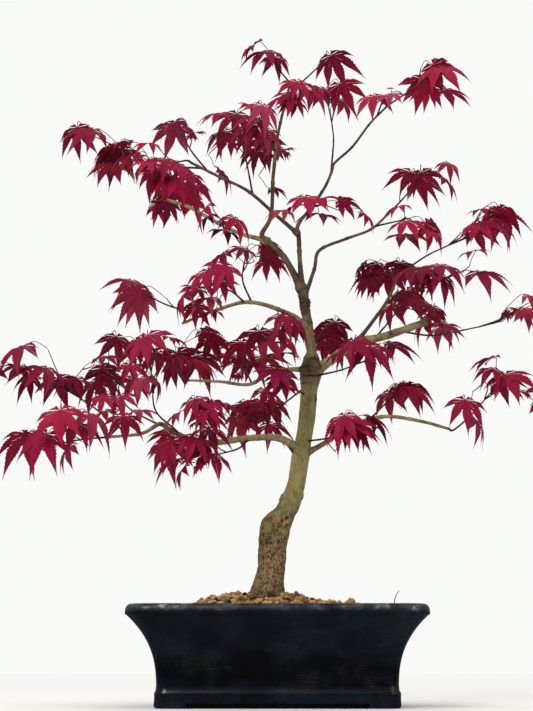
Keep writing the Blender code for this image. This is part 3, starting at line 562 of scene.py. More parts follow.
trunkBarkLook = {
    "patch": 7.0, "pits": 1.1, "oldPits": 2.1,          # mm
    "heights": (        # mm up, and the bark's colour there
        (90, "#5a4530"), (94, "#a38a63"), (120, "#b0976c"), (150, "#a89267"), (166, "#9a8e60"),
        (190, "#a49763"), (212, "#a39666"), (222, "#918b5c"), (250, "#928d5e"), (270, "#958c64"),
        (277, "#857653"),
        (284, "#6b593f"), (297, "#665339"), (303, "#83744f"), (325, "#887852"), (329, "#54432f"),
        (334, "#837350"), (339, "#544330"), (350, "#453627"), (357, "#6d5c43"), (366, "#5f4f3a")),
    "oldEdge": (168, 181),      # the cracked plates fade out between these heights
    "stainsAndShade": (         # stains and painted shade: place, half width, half height in mm, colour, strength; the near-black ones are painted shade
        ((-9, -10, 152), 5.5, 6, "#9a9555", 0.85), ((7, -11, 148), 4, 5, "#8a8760", 0.7),
        ((-6, -9, 163), 5, 3.2, "#b8935f", 0.8), ((-1, -11, 158), 3.5, 5, "#a5865f", 0.6),
        # painted shade: the near-black marks in the knot's pit, 153 to 160 mm up
        ((8, -10, 156.5), 5.0, 5.0, "#ad9169", 0.8), ((4.5, -11, 156.5), 1.9, 1.9, "#1d140d", 1.0),
        ((8, -9, 159.5), 2.3, 1.8, "#241910", 1.0), ((9, -9, 153), 2.2, 1.5, "#1d140d", 1.0),
        # painted shade: near-black marks at the trunk's foot, where it meets the soil
        ((-4.5, -14, 92), 5.0, 5.5, "#1d140c", 0.95), ((-1.5, -14, 102), 2.2, 9, "#35261a", 0.85),
        ((3, -13, 94), 2.0, 4, "#1d130b", 0.9), ((-14, -10, 96), 3.2, 3.2, "#2b1e13", 0.7),
        ((-9, -9, 139), 2.6, 4, "#3a2a1d", 0.8), ((4, -11, 137), 5, 7, "#5d4631", 0.5),
        # painted shade: near-black lines in the creases from 276 to 297 mm, and in the fork of the
        # right limb
        ((29, -10, 282), 8, 1.1, "#241a12", 0.9), ((26, -9, 290), 7, 1.2, "#2a1f15", 0.9),
        ((32, -10, 297), 6, 1.6, "#32261a", 0.85), ((37, -6, 294), 3.4, 6, "#1d140d", 0.9),
        ((24, -9, 276), 7, 0.9, "#3b2d1e", 0.7), ((2, -12, 112), 2.0, 9, "#4a3624", 0.6),
        # painted shade where the low boughs leave the trunk
        ((11, -3, 219), 5, 6, "#56432d", 0.8),
        ((31, -3, 217), 5, 6, "#5a4229", 0.85), ((34, -6, 262), 3.0, 5, "#3f3022", 0.75),
        ((-16, 4, 156), 4, 5, "#b59a68", 0.5), ((6, 12, 120), 4, 12, "#2a1d12", 0.85)),
    "fleckStrength": 0.5, "roughness": (0.62, 0.85), "specular": 0.3, "bumpDepth": 0.4,
}
limbBarkLook = {
    "patch": 8.0, "pits": 1.0,
    "skin": ((0.27, "#4b3b29"), (0.42, "#7d6c4c"), (0.58, "#968661"), (0.8, "#a5966e")),
    "stainsAndShade": (
        # painted shade: the dark marks at the roots of the low boughs, where they join the trunk
        ((31, -3, 217), 3.4, 4.2, "#4a3320", 0.95), ((12, -3, 218.5), 3.4, 4.6, "#2b1e14", 0.95),
        ((131, -28, 327), 5, 4.5, "#2c2219", 0.95), ((118, -23, 327), 9, 3.2, "#43362a", 0.7)),
    "fleckStrength": 0.5, "roughness": (0.55, 0.75), "specular": 0.3, "bumpDepth": 0.22,
}
thinBarkLook = {
    "patch": 10.0, "pits": 0.9,
    "skin": ((0.3, "#352620"), (0.45, "#554232"), (0.6, "#6f5941"), (0.8, "#836d4d")),
    "stainsAndShade": (((-62, 0, 300), 4, 4, "#3b2a1e", 0.8),),
    "fleckStrength": 0.4, "roughness": (0.5, 0.7), "specular": 0.3, "bumpDepth": 0.14,
}
shootLook = {
    "patch": 6.0, "pits": 0.9,
    "skin": ((0.3, "#2e1518"), (0.5, "#4d2427"), (0.7, "#623a31")),
    "stainsAndShade": (),
    "fleckStrength": 0.3, "roughness": (0.6, 0.75), "specular": 0.15, "bumpDepth": 0.08,
}
trunkBark = makeBark("oldMapleBark", trunkBarkLook)
limbBark = makeBark("youngMapleBark", limbBarkLook)
thinBark = makeBark("thinLimbBark", thinBarkLook)
shootBark = makeBark("shootBark", shootLook)

trunkPiece = addMesh("trunkBark", *trunkSurface(), [trunkBark])
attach(trunkPiece, "root")
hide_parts("trunk")
boughParts = [(limbSurface(name), name in limbRelief["brown"]) for name in limbs]
boughPiece = addMesh("boughBark", *joinMeshes([part for part, _ in boughParts]),
                     [limbBark, thinBark],
                     [int(thin) for (_, faces), thin in boughParts for _ in faces])
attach(boughPiece, "root")
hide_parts(*limbs)
barkFaces = len(trunkPiece.data.polygons) + len(boughPiece.data.polygons)
print("trunk and", len(limbs), "limbs:", barkFaces, "faces")

Mass = namedtuple("Mass", "name parent at stem centre half twigs leaves length seed fine")
masses = (              # mm: stem from a share of its parent, oval space, counts, leaf, seeds
    Mass("far_left_low", "bough_low_left_end", 1, ((-164, -54, 222), (-190, -62, 216)),
         (-194, -60, 217), (59.85, 45.15, 31.5), 4, 10, 36.4, 220, 27),
    Mass("far_left_high", "bough_low_left_end", 0.67, ((-156, -25, 252), (-186, -8, 273)),
         (-192, -5, 272), (64.05, 45.15, 38.85), 4, 10, 37.7, 177, 93),
    Mass("left_high", "bough_low_left", 0.93, ((-127, -15, 253), (-144, 0, 280)),
         (-140, 5, 287), (37.8, 43.05, 42), 3, 9, 35.1, 65, 58),
    Mass("left_rise", "bough_low_left", 0.88, ((-103, -45, 248), (-105, -60, 273)),
         (-98, -62, 276), (29.4, 39.9, 40.95), 3, 8, 33.8, 83, 26),
    Mass("left_under", "bough_low_left_end", 0.45, ((-125, -62, 234),),
         (-118, -75, 231), (37.8, 37.8, 25.2), 2, 6, 26, 268, 87),
    Mass("left_hanging", "bough_low_left", 0.38, ((-35, -20, 217), (-61, -35, 209)),
         (-74, -38, 208), (43.05, 43.05, 33.6), 3, 8, 35.1, 116, 16),
    Mass("left_front", "bough_low_left", 0.63, ((-58, -45, 234), (-64, -68, 242)),
         (-60, -78, 237), (35.7, 37.8, 25.2), 3, 7, 28.6, 126, 73),
    Mass("left_mid_end", "bough_left", 1, ((-89, 72, 297),),
         (-79, 85, 302), (37.8, 45.15, 36.75), 3, 8, 35.1, 13, 85),
    Mass("left_mid_near", "bough_left", 0.5, ((-31, 52, 303),),
         (-22, 65, 309), (38.85, 39.9, 33.6), 3, 8, 33.8, 66, 2),
    Mass("left_diag", "trunk", 0.68, ((7, 28, 263), (-17, 52, 247)),
         (-13, 60, 244), (38.85, 43.05, 35.7), 3, 8, 32.5, 116, 108),
    Mass("trunk_left_front", "trunk", 0.64, ((9, -28, 271), (-1, -45, 277)),
         (0, -55, 276), (26.25, 37.8, 31.5), 2, 6, 33.8, 56, 68),
    Mass("mid_left", "bough_mid_left", 0.51, ((-40, -42, 351), (-61, -58, 355)),
         (-58, -62, 341), (36.75, 39.9, 32.55), 3, 8, 32.5, 231, 45),
    Mass("mid_left_far", "bough_mid_left", 0.82, ((-92, -35, 339), (-116, -28, 352)),
         (-122, -25, 348), (36.75, 39.9, 27.3), 2, 6, 36.4, 156, 119),
    Mass("mid_left_up", "bough_mid_left", 0.46, ((-30, 0, 368), (-29, 20, 388)),
         (-18, 28, 387), (45.15, 43.05, 27.3), 3, 7, 31.2, 51, 85),
    Mass("mid_left_near", "bough_mid_left", 0.21, ((1, -38, 328),),
         (2, -52, 324), (26.25, 35.7, 29.4), 2, 6, 28.6, 76, 64),
    Mass("high_left_end", "limb_high_left", 1, ((-112, 76, 456),),
         (-97, 84, 454), (38.85, 43.05, 29.4), 3, 8, 28.6, 27, 80),
    Mass("high_left_near", "limb_high_left", 0.38, ((-48, 8, 424), (-48, -10, 420)),
         (-45, -18, 413), (27.3, 35.7, 23.1), 2, 6, 28.6, 190, 20),
    Mass("top_left", "leader", 1, ((-1, -8, 560),),
         (-9, -8, 565), (33.6, 37.8, 33.6), 2, 6, 35.1, 155, 32),
    Mass("top_right", "leader", 0.95, ((25, 8, 552), (46, 14, 574)),
         (57, 15, 570), (34.65, 37.8, 27.3), 2, 5, 37.7, 85, 2),
    Mass("apex", "leader", 0.88, ((15, -28, 526),),
         (20, -42, 516), (34.65, 37.8, 26.25), 3, 7, 31.2, 280, 37),
    Mass("leader_front", "leader", 0.58, ((-6, -28, 487), (-13, -44, 497)),
         (-12, -55, 491), (29.4, 37.8, 32.55), 3, 7, 31.2, 55, 46),
    Mass("leader_back", "leader", 0.37, ((-1, 28, 479), (1, 48, 500)),
         (-1, 56, 486), (36.75, 43.05, 42), 3, 7, 28.6, 70, 19),
    Mass("centre_left_mid", "limb_centre_left", 1, ((-93, -66, 456),),
         (-88, -74, 440), (37.8, 43.05, 30.45), 4, 9, 31.2, 46, 60),
    Mass("centre_left_far", "limb_centre_left", 0.9, ((-109, -48, 461), (-138, -36, 481)),
         (-147, -32, 470), (48.3, 45.15, 46.2), 4, 10, 33.8, 98, 2),
    Mass("centre_left_up", "limb_centre_left", 0.86, ((-75, -38, 476), (-85, -25, 499)),
         (-86, -22, 492), (30.45, 35.7, 31.5), 2, 5, 36.4, 208, 63),
    Mass("centre_left_rise", "limb_centre_left", 0.46, ((-27, -8, 474), (-36, 8, 515)),
         (-45, 8, 492), (32.55, 39.9, 49.35), 4, 9, 32.5, 86, 77),
    Mass("centre_right_up", "limb_centre_right", 0.92, ((52, 44, 506), (49, 55, 539)),
         (57, 58, 525), (34.65, 39.9, 48.3), 3, 8, 33.8, 89, 9),
    Mass("high_right", "limb_high_right", 0.85, ((92, -34, 521),),
         (91, -50, 512), (26.25, 35.7, 21), 2, 5, 31.2, 252, 25),
    Mass("high_right_far", "limb_high_right", 1, ((117, -2, 538), (133, 6, 553)),
         (142, 5, 542), (42, 39.9, 36.75), 2, 6, 37.7, 16, 61),
    Mass("high_right_near", "limb_thin_right", 1, ((118, 62, 458), (130, 70, 475)),
         (139, 72, 470), (47.25, 43.05, 29.4), 3, 7, 32.5, 73, 86),
    Mass("thin_right_mid", "limb_thin_right", 0.85, ((106, 25, 426), (118, 10, 426)),
         (121, 2, 413), (32.55, 37.8, 32.55), 2, 6, 32.5, 91, 42),
    Mass("centre_right_front", "limb_centre_right", 0.3, ((31, -24, 427), (35, -40, 427)),
         (37, -52, 413), (48.3, 39.9, 27.3), 4, 9, 29.9, 60, 83),
    Mass("right_rise_top", "limb_right_rise", 0.93, ((101, 0, 375),),
         (98, 18, 371), (44.1, 39.9, 28.35), 3, 8, 32.5, 177, 13),
    Mass("right_far", "limb_right_rise", 1, ((127, -40, 381), (163, -48, 397)),
         (179, -50, 401), (52.5, 43.05, 32.55), 4, 9, 35.1, 207, 117),
    Mass("right_mid_far", "limb_right_rise", 0.66, ((126, -50, 352), (152, -68, 362)),
         (150, -72, 353), (53.55, 39.9, 26.25), 4, 9, 33.8, 174, 38),
    Mass("right_mid_near", "limb_right", 0.57, ((100, 15, 335), (112, 35, 353)),
         (119, 50, 351), (36.75, 39.9, 26.25), 3, 7, 29.9, 33, 76),
    Mass("right_low_twig", "limb_right", 0.77, ((134, 0, 319), (176, 25, 330), (204, 40, 339)),
         (183, 35, 333), (69.3, 45.15, 30.45), 4, 10, 28.6, 31, 116),
    Mass("right_front", "trunk", 0.7, ((54, -30, 284), (80, -55, 291)),
         (82, -62, 287), (44.1, 39.9, 26.25), 3, 8, 33.8, 214, 112),
    Mass("trunk_right_back", "trunk", 0.8, ((39, 30, 325), (48, 50, 339)),
         (52, 58, 332), (24.15, 37.8, 35.7), 2, 6, 31.2, 199, 1),
    Mass("low_right_front", "trunk", 0.5, ((45, -25, 227), (62, -42, 236)),
         (66, -52, 229), (36.75, 39.9, 28.35), 3, 8, 33.8, 288, 80),
    Mass("low_right_mid", "bough_low_right", 0.49, ((97, 52, 265), (107, 68, 276)),
         (112, 72, 269), (47.25, 39.9, 26.25), 3, 7, 35.1, 10, 73),
    Mass("low_right_end", "bough_low_right", 1, ((174, 44, 255), (194, 36, 278)),
         (191, 35, 263), (56.7, 45.15, 43.05), 5, 11, 35.1, 207, 85),
)
sprayRule = {           # as in the CAD, so the sprays keep to their solids' spaces; metres
    "outlinePower": 4,          # between an oval and a box
    "rise": 0.004,              # how far a stem carries on a limb's line
    "stemRadius": (0.0011, 0.0008), "twigRadius": (0.0009, 0.0007), "stalkRadius": 0.0006,
    "stemStep": 0.022, "rootSkip": 0.006,
    "twigRoom": 0.60, "twigLift": 0.30, "twigSpots": 6,
    "twigForks": (0.15, 0.35, 0.55, 0.75),      # shares of the stem
    "twigBend": 0.45,
    "stalkLength": (0.45, 0.80), "stalkBend": 0.0030, "sharpestBend": 0.22,
    "stalkFree": (0.22, 0.8),   # the part of a stalk that has to keep clear of its own spray
    "firstPair": 0.0012, "pairSpacing": 0.012, "lastPair": 0.3,
    "turn": 0.6, "swing": 0.5,  # radians either way
    "steep": 0.95,              # a twig that rises more than this has no level side
    "leanAlong": (0.3, 0.9), "leanUp": (0.1, 0.7),
    "leafSize": (0.84, 1.10), "leafPitch": (5, 50), "leafRoll": 24,
    "droop": 0.55, "lobes": ((0, 1.00), (39, 0.92), (84, 0.66)), "notches": (0.46, 0.40),
    "notchBack": 0.14, "blade": 0.0016,
    "tries": 60, "guard": 0.0008, "guardBlade": 0.0025, "guardGrow": 1.05,
}
fineRule = {            # what only the dressed tree has
    "moreLeaves": 1.0,          # more leaves, as a share of the spray's own count
    "leafSize": (0.62, 1.05),
    "room": 1.08,               # leaves may hang this much past the spray's own space
    "bladeGuard": 0.0008,       # leaves may come this close
    "tries": 40, "tipTries": 60,
    "bareTip": 0.004,           # a tip is bare with no leaf this near
    "shootLength": (0.008, 0.020), "shootPlace": (0.35, 0.98),
    "shootSpread": 0.9, "shootLift": 0.25,
    "stemRadius": (0.00095, 0.00055), "twigRadius": (0.00065, 0.0004), "stalkRadius": 0.00034,
    "step": 0.002, "rootDepth": 0.4,
    "stalkStep": 0.003, "stalkArch": (0.55, 0.0012),    # where a stalk arches, and how high
    "trim": (0.35, 0.001),      # least share of a twig kept, and what is kept past its last leaf
    "joint": 0.0025,            # what starts this near a twig grows on it
    "knuckles": (17, 1.1, 0.16),        # spacing and width in mm, swelling
    "usualTint": 0.5,           # share of a spray's leaves in its usual colour
    "youngShare": 0.35,         # share of twig tips with a pair of young folded leaves
    "youngLength": (0.008, 0.013), "youngRadius": 0.0003, "youngOpen": 0.55,
    "youngSwing": (0.3, 0.8), "youngPitch": (-25, 35), "youngStalk": (0.004, 0.001),
}
Guard = namedtuple("Guard", "tree centre reach")
Leaf = namedtuple("Leaf", "stalk frame length")


def bladeStar(length, thickness):
    # a blade as a star with one point for each lobe, used to keep leaves apart
    rule = sprayRule
    lobes = rule["lobes"]
    side = [lobes[0]]
    for (angle, share), (before, _), notch in zip(lobes[1:], lobes, rule["notches"]):
        side += [((angle + before) / 2, notch), (angle, share)]
    rim = []
    for angle, share in [(-a, s) for a, s in reversed(side[1:])] + side:
        turn = math.radians(angle)
        rim.append(Vector((length * share * math.cos(turn), length * share * math.sin(turn),
                           -rule["droop"] * length * share ** 2)))
    rim.append(Vector((-rule["notchBack"] * length, 0, 0)))
    count = len(rim)
    faces = []
    for k in range(count):
        after = (k + 1) % count
        faces += [(k, after, count), (after, k, count + 1)]
    return rim + [Vector((0, 0, thickness / 2)), Vector((0, 0, -thickness / 2))], faces


def hungBlade(leaf, grow, thickness):
    verts, faces = bladeStar(leaf.length * grow, thickness)
    return [leaf.stalk[2] + leaf.frame @ v for v in verts], faces


def guardOf(verts, faces):
    centre = sum(verts, Vector()) / len(verts)
    reach = max((v - centre).length for v in verts)
    return Guard(BVHTree.FromPolygons(verts, faces), centre, reach)


def tubeGuard(points, radii, skip=0.0):
    kept = [p for p in points if (p - points[0]).length >= skip]
    if len(kept) < 2:
        kept = [points[0].lerp(points[-1], 0.5), points[-1]]
    fat = [max(radii) + sprayRule["guard"]] * len(kept)
    return guardOf(*sweptTube(kept, fat, 4))


def fineGuard(leaf):
    return guardOf(*hungBlade(leaf, 1, fineRule["bladeGuard"]))


def isClear(shape, guards):
    for other in guards:
        if (shape.centre - other.centre).length < shape.reach + other.reach:
            if shape.tree.overlap(other.tree):
                return False
    return True


def hangsFree(leaf, centre, half, thickness):
    # its stalk isn't folded back on itself, and all of its blade is in the spray's space
    node, elbow, _ = leaf.stalk
    if (elbow - node).normalized().dot(leaf.frame.col[0]) < sprayRule["sharpestBend"]:
        return False
    for tip in hungBlade(leaf, 1, thickness)[0]:
        offset = tip - centre
        if sum(abs(offset[k] / half[k]) ** sprayRule["outlinePower"] for k in range(3)) >= 1:
            return False
    return True


def bentRun(start, lean, end, count):
    middle = start + lean * (end - start).length * sprayRule["twigBend"]
    shares = [k / count for k in range(count + 1)]
    return [start * (1 - t) ** 2 + middle * 2 * t * (1 - t) + end * t ** 2 for t in shares]


def massStem(mass):
    gap = limbRule["gap"]
    start, along, radius = placeOn(*axes[mass.parent], mass.at)
    knots = [Vector(p) * mm for p in mass.stem]
    if mass.at == 1:
        knots = [start + along * gap, start + along * sprayRule["rise"]] + knots
    else:
        toward = (knots[0] - start).normalized()
        across = toward.cross(along).length
        clear = (radius + gap + sprayRule["stemRadius"][0] * math.sqrt(1 - across ** 2)) / across
        knots = [start + toward * clear] + knots
    points = smoothRoute(knots, sprayRule["stemStep"])
    return points, taper(points, *sprayRule["stemRadius"])


def twigTo(end, stem):
    # a twig to this end from the nearest fork of the stem
    places = [placeOn(*stem, share) for share in sprayRule["twigForks"]]
    start, along, _ = min(places, key=lambda place: (end - place[0]).length)
    points = bentRun(start, along, end, 2)
    return points, taper(points, *sprayRule["twigRadius"])


def hangFrame(toward, swing, pitch):
    # a leaf's own axes: ahead, across and above
    level = Vector((toward.x, toward.y, 0)).normalized()
    level = Matrix.Rotation(swing, 3, "Z") @ level
    ahead = level * math.cos(pitch) - up * math.sin(pitch)
    above = level * math.sin(pitch) + up * math.cos(pitch)
    return Matrix((ahead, above.cross(ahead), above)).transposed()


def hangLeaf(rng, twig, order, turn, length, sizes):
    # one of the pairs of leaves that follow each other back from a twig's tip
    rule = sprayRule
    pair, second = divmod(order, 2)
    points, radii = twig
    run = runAlong(points)[-1]
    share = max(rule["lastPair"], 1 - (rule["firstPair"] + pair * rule["pairSpacing"]) / run)
    node, along, _ = placeOn(points, radii, share)
    side = along.cross(up).normalized() if abs(along.z) < rule["steep"] else Vector((1, 0, 0))
    other = along.cross(side)
    angle = turn + math.pi * second + math.pi / 2 * pair + rng.uniform(-rule["turn"], rule["turn"])
    out = side * math.cos(angle) + other * math.sin(angle)
    lean = along * rng.uniform(*rule["leanAlong"]) + out + up * rng.uniform(*rule["leanUp"])
    lean.normalize()
    size = length * rng.uniform(*sizes)
    joint = node + lean * length * rng.uniform(*rule["stalkLength"])
    hang = hangFrame(lean, rng.uniform(-rule["swing"], rule["swing"]),
                     math.radians(rng.uniform(*rule["leafPitch"])))
    roll = math.radians(rng.uniform(-rule["leafRoll"], rule["leafRoll"]))
    hang = hang @ Matrix.Rotation(roll, 3, "X")
    elbow = joint - hang @ Vector((rule["notchBack"] * size + rule["stalkBend"], 0, 0))
    return Leaf([node, elbow, joint], hang, size)


def growMass(mass, stem, guards):
    # the CAD's own twigs and leaves, from the same seed
    rule = sprayRule
    rng = random.Random(mass.seed)
    centre, half = Vector(mass.centre) * mm, Vector(mass.half) * mm
    twigs, leaves, whole = [stem], [], []
    own = [tubeGuard(*stem, skip=rule["rootSkip"])]
    middle, room = centre + up * half.z * rule["twigLift"], rule["twigRoom"]
    for _ in range(rule["tries"] * mass.twigs):
        if len(twigs) == mass.twigs:
            break
        spots = [middle + Vector([half[k] * room * rng.uniform(-1, 1) for k in range(3)])
                 for _ in range(rule["twigSpots"])]
        ends = [twig[0][-1] for twig in twigs]
        end = max(spots, key=lambda spot: min((spot - tip).length for tip in ends))
        twig = twigTo(end, stem)
        shape, free = tubeGuard(*twig), tubeGuard(*twig, skip=rule["rootSkip"])
        if isClear(shape, guards) and isClear(free, own):
            twigs.append(twig)
            own.append(free)
            whole.append(shape)
    for k in range(mass.leaves):
        order, at = divmod(k, len(twigs))
        turn = random.Random(mass.seed * 100 + at).uniform(0, math.tau)
        for _ in range(rule["tries"]):
            leaf = hangLeaf(rng, twigs[at], order, turn, mass.length * mm, rule["leafSize"])
            if not hangsFree(leaf, centre, half, rule["blade"]):
                continue
            node, elbow, joint = leaf.stalk
            first, last = rule["stalkFree"]
            shape = guardOf(*hungBlade(leaf, rule["guardGrow"], rule["guardBlade"]))
            stalk = tubeGuard(leaf.stalk, [rule["stalkRadius"]])
            free = tubeGuard([node.lerp(elbow, first), elbow, elbow.lerp(joint, last)],
                             [rule["stalkRadius"]])
            if isClear(shape, guards + own) and isClear(stalk, guards) and isClear(free, own):
                leaves.append(leaf)
                own += [shape, free]
                whole += [shape, stalk]
                break
    return twigs, leaves, whole


def growFine(mass, twigs, leaves, guards):
    # finer shoots off the spray's twigs, with more leaves in what room is left
    rule = fineRule
    rng = random.Random(mass.fine)
    centre, half = Vector(mass.centre) * mm, Vector(mass.half) * mm * rule["room"]
    shoots, more = [], []
    taken = [fineGuard(leaf) for leaf in leaves] + guards

    def addLeaf(twig, order):
        leaf = hangLeaf(rng, twig, order, rng.uniform(0, math.tau), mass.length * mm,
                        rule["leafSize"])
        if hangsFree(leaf, centre, half, rule["bladeGuard"]) and isClear(fineGuard(leaf), taken):
            more.append(leaf)
            taken.append(fineGuard(leaf))
            return True
        return False

    for twig in twigs:          # a bare tip gets a leaf
        if all((leaf.stalk[0] - twig[0][-1]).length >= rule["bareTip"] for leaf in leaves):
            for _ in range(rule["tipTries"]):
                if addLeaf(twig, rng.choice((0, 1))):
                    break
    for _ in range(round(max(3, len(leaves)) * rule["moreLeaves"])):
        for _ in range(rule["tries"]):
            parent = rng.choice(twigs)
            start, along, _ = placeOn(*parent, rng.uniform(*rule["shootPlace"]))
            spread = Vector([rng.uniform(-1, 1) for _ in range(3)]) * rule["shootSpread"]
            lean = (along + spread).normalized()
            toward = (lean + up * rule["shootLift"]).normalized()
            points = bentRun(start, lean, start + toward * rng.uniform(*rule["shootLength"]), 3)
            shoot = (points, taper(points, *rule["twigRadius"]))
            if addLeaf(shoot, 0):
                shoots.append(shoot)
                break
    return shoots, more


def growCrown():
    stems = {mass.name: massStem(mass) for mass in masses}
    stemShapes = {name: tubeGuard(*stem) for name, stem in stems.items()}
    limbGuards = [tubeGuard(*axes[name]) for name in axes]
    guards = list(limbGuards)
    grown = {}
    for mass in masses:
        others = [shape for name, shape in stemShapes.items() if name != mass.name]
        twigs, leaves, whole = growMass(mass, stems[mass.name], guards + others)
        guards += whole
        grown[mass.name] = (twigs, leaves)
    guards = limbGuards + [fineGuard(leaf) for _, leaves in grown.values() for leaf in leaves]
    for mass in masses:
        twigs, leaves = grown[mass.name]
        shoots, more = growFine(mass, twigs, leaves, guards)
        guards += [fineGuard(leaf) for leaf in more]
        grown[mass.name] = (twigs, leaves, shoots, more)
    return grown


leafShape = {
    "lobes": ((0, 1.00), (39, 0.94), (77, 0.73), (107, 0.40)),      # degrees, share of the length
    "sinus": (0.40, 0.38, 0.33),        # radius of the gaps between lobes, from the middle one out
    "back": (38, 0.17),         # how far the last lobes reach behind the stalk: degrees, radius
    "width": 0.162,             # half width of a lobe, as a share of its own length
    "belly": (0.26, 0.72),      # how much fuller a lobe's middle is than its root, and where
    "teeth": 8,                 # on each side of a lobe
    "toothAt": 0.70, "toothDepth": 0.18,
    "tail": 0.92,               # where the thread-fine tip starts
    "thread": ((0.97, 0.007), (1, 0)),  # its stations: along and half width, as shares of the lobe
    "taper": 2.1, "leastWidth": 0.012,
    "rootTeeth": 1.8,           # teeth over which a lobe grows out of the gap beside it
    "fold": 0.34,               # how far a lobe's edges rise from its midrib
    "pleat": 0.009,             # how far a tooth stands off the next, as a share of the length
    "droop": 0.50,              # drop of the tips, as a share of the length
    "tipCurl": 0.30, "curlFrom": 0.55,
    "turn": 5, "sway": 0.18,    # a lobe's own lean: degrees, and bend to one side
    "varied": {                 # no two leaves or lobes are the same
        "droop": (0.5, 1.4), "fold": (0.7, 1.3), "length": (0.88, 1.06), "tipCurl": (0.3, 1.6)},
}


def lobeProfile(length, sinus, spread):
    # stations along one side of a lobe: distance along it, half width, and which are teeth's tips
    shape = leafShape
    start, wide = sinus * math.cos(spread), sinus * math.sin(spread)
    stations = [(0.0, 0.0, 0), (start, wide, 0)]
    free = shape["tail"] * length - start
    swell, bellyAt = shape["belly"]
    for k in range(shape["teeth"]):
        for late, cut, tip in ((shape["toothAt"], 1.0, 1), (1.0, 1 - shape["toothDepth"], 0)):
            share = (k + late) / shape["teeth"]
            body = 1 - swell + swell * math.sin(math.pi * min(1.0, share / bellyAt))
            width = shape["width"] * length * body * (1 - share ** shape["taper"]) * cut
            width += shape["leastWidth"] * length
            grown = min(1.0, (k + late) / shape["rootTeeth"])
            stations.append((start + free * share, width * grown + wide * (1 - grown), tip))
    return stations + [(along * length, across * length, 0) for along, across in shape["thread"]]


def leafMesh(leaf, rng, closed=1.0):
    # one palmate blade: each half lobe is a strip from midrib to toothed edge
    shape, varied = leafShape, leafShape["varied"]
    size = leaf.length
    lobes = [(-a, s) for a, s in reversed(shape["lobes"][1:])] + list(shape["lobes"])
    behind, backRadius = math.radians(shape["back"][0]), shape["back"][1]
    gaps = [size * g for g in (backRadius, *reversed(shape["sinus"]), *shape["sinus"], backRadius)]
    turns = [math.radians(angle * closed + rng.uniform(-shape["turn"], shape["turn"]))
             for angle, _ in lobes]
    halves = [behind] + [(b - a) / 2 for a, b in zip(turns, turns[1:])] + [behind]
    droop = shape["droop"] * rng.uniform(*varied["droop"])
    fold = shape["fold"] * rng.uniform(*varied["fold"])
    verts, faces = [], []
    for i, (_, share) in enumerate(lobes):
        length = size * share * rng.uniform(*varied["length"])
        curl = shape["tipCurl"] * rng.uniform(*varied["tipCurl"])
        sway = rng.uniform(-shape["sway"], shape["sway"])
        cosine, sine = math.cos(turns[i]), math.sin(turns[i])
        for side, sign in ((i, -1), (i + 1, 1)):
            stations = lobeProfile(length, gaps[side], halves[side])
            free = stations[1][0]
            low = len(verts)
            for along, wide, tip in stations:
                bend = sway * max(0.0, along - free) ** 2 / length
                for across in (0.0, wide * sign):
                    x = along * cosine - (across + bend) * sine
                    y = along * sine + (across + bend) * cosine
                    z = fold * abs(across) - droop * size * (along / size) ** 2
                    z -= curl * size * max(0.0, along / length - shape["curlFrom"]) ** 2
                    if across and along > free:
                        z += shape["pleat"] * length * (tip - 0.5)
                    verts.append(leaf.stalk[2] + leaf.frame @ Vector((x, y, z)))
            for a in range(low, len(verts) - 2, 2):
                quad = (a, a + 2, a + 3, a + 1)
                faces.append(quad if sign > 0 else tuple(reversed(quad)))
    return verts, faces


leafTints = {           # base colours, and how often a spray takes each
    "crimsonLeaf": ("#8a0a33", 6),
    "scarletLeaf": ("#970e36", 3),
    "dustyLeaf": ("#952a46", 2),
    "wineLeaf": ("#7a082e", 4),
    "deepWineLeaf": ("#660627", 1),
}


leafLook = {
    "veinSize": 1.6, "veinDepth": 0.25, "veinStrength": 0.6,        # sizes in mm
    "roughness": (0.42, 0.60), "specular": 0.15,
    "stalk": ((0.35, "#5e0f24"), (0.65, "#8c2038")), "stalkRoughness": 0.6,
    "streak": 8.333, "streakNoise": {"Detail": 2},
}


def makeLeafMaterial(name, colour):
    # maple leaf, dielectric, IOR 1.45: satin, with fine veins that break up its shine
    look = leafLook
    made, tree, shader, place = startMaterial(name, {
        "Base Color": linear(colour), "IOR": 1.45, "Metallic": 0.0,
        "Specular IOR Level": look["specular"]})
    veins = addNode(tree, "TexVoronoi", perSize(look["veinSize"]), {"Vector": place})
    rough = addNode(tree, "MapRange", span(0.0, 1.0, *look["roughness"]), {"Value": veins})
    bump = addNode(tree, "Bump", {"Strength": look["veinStrength"],
                                  "Distance": look["veinDepth"] * mm}, {"Height": veins})
    feed(shader, {"Roughness": rough, "Normal": bump})
    return made


def makeStalkMaterial():
    # leaf stalk, dielectric, IOR 1.45: thin, dull and darker red than the blades
    look = leafLook
    made, tree, shader, place = startMaterial("redLeafStalk", {
        "IOR": 1.45, "Metallic": 0.0, "Roughness": look["stalkRoughness"],
        "Specular IOR Level": look["specular"]})
    streaks = addNode(tree, "TexNoise", perSize(look["streak"], **look["streakNoise"]),
                      {"Vector": place})
    colour = addNode(tree, "ValToRGB", {"stops": look["stalk"]}, {"Fac": streaks})
    feed(shader, {"Base Color": colour})
    return made


def trimmed(points, used):
    # a run of points, cut short just past the last thing that grows on it
    least, past = fineRule["trim"]
    run = runAlong(points)
    ends = [least * run[-1]]
    for spot in used:
        k = min(range(len(points)), key=lambda i: (points[i] - spot).length)
        if (points[k] - spot).length < fineRule["joint"]:
            ends.append(run[k] + past)
    kept = [p for p, s in zip(points, run) if s <= max(ends)]
    return kept if len(kept) > 2 else points[:3]


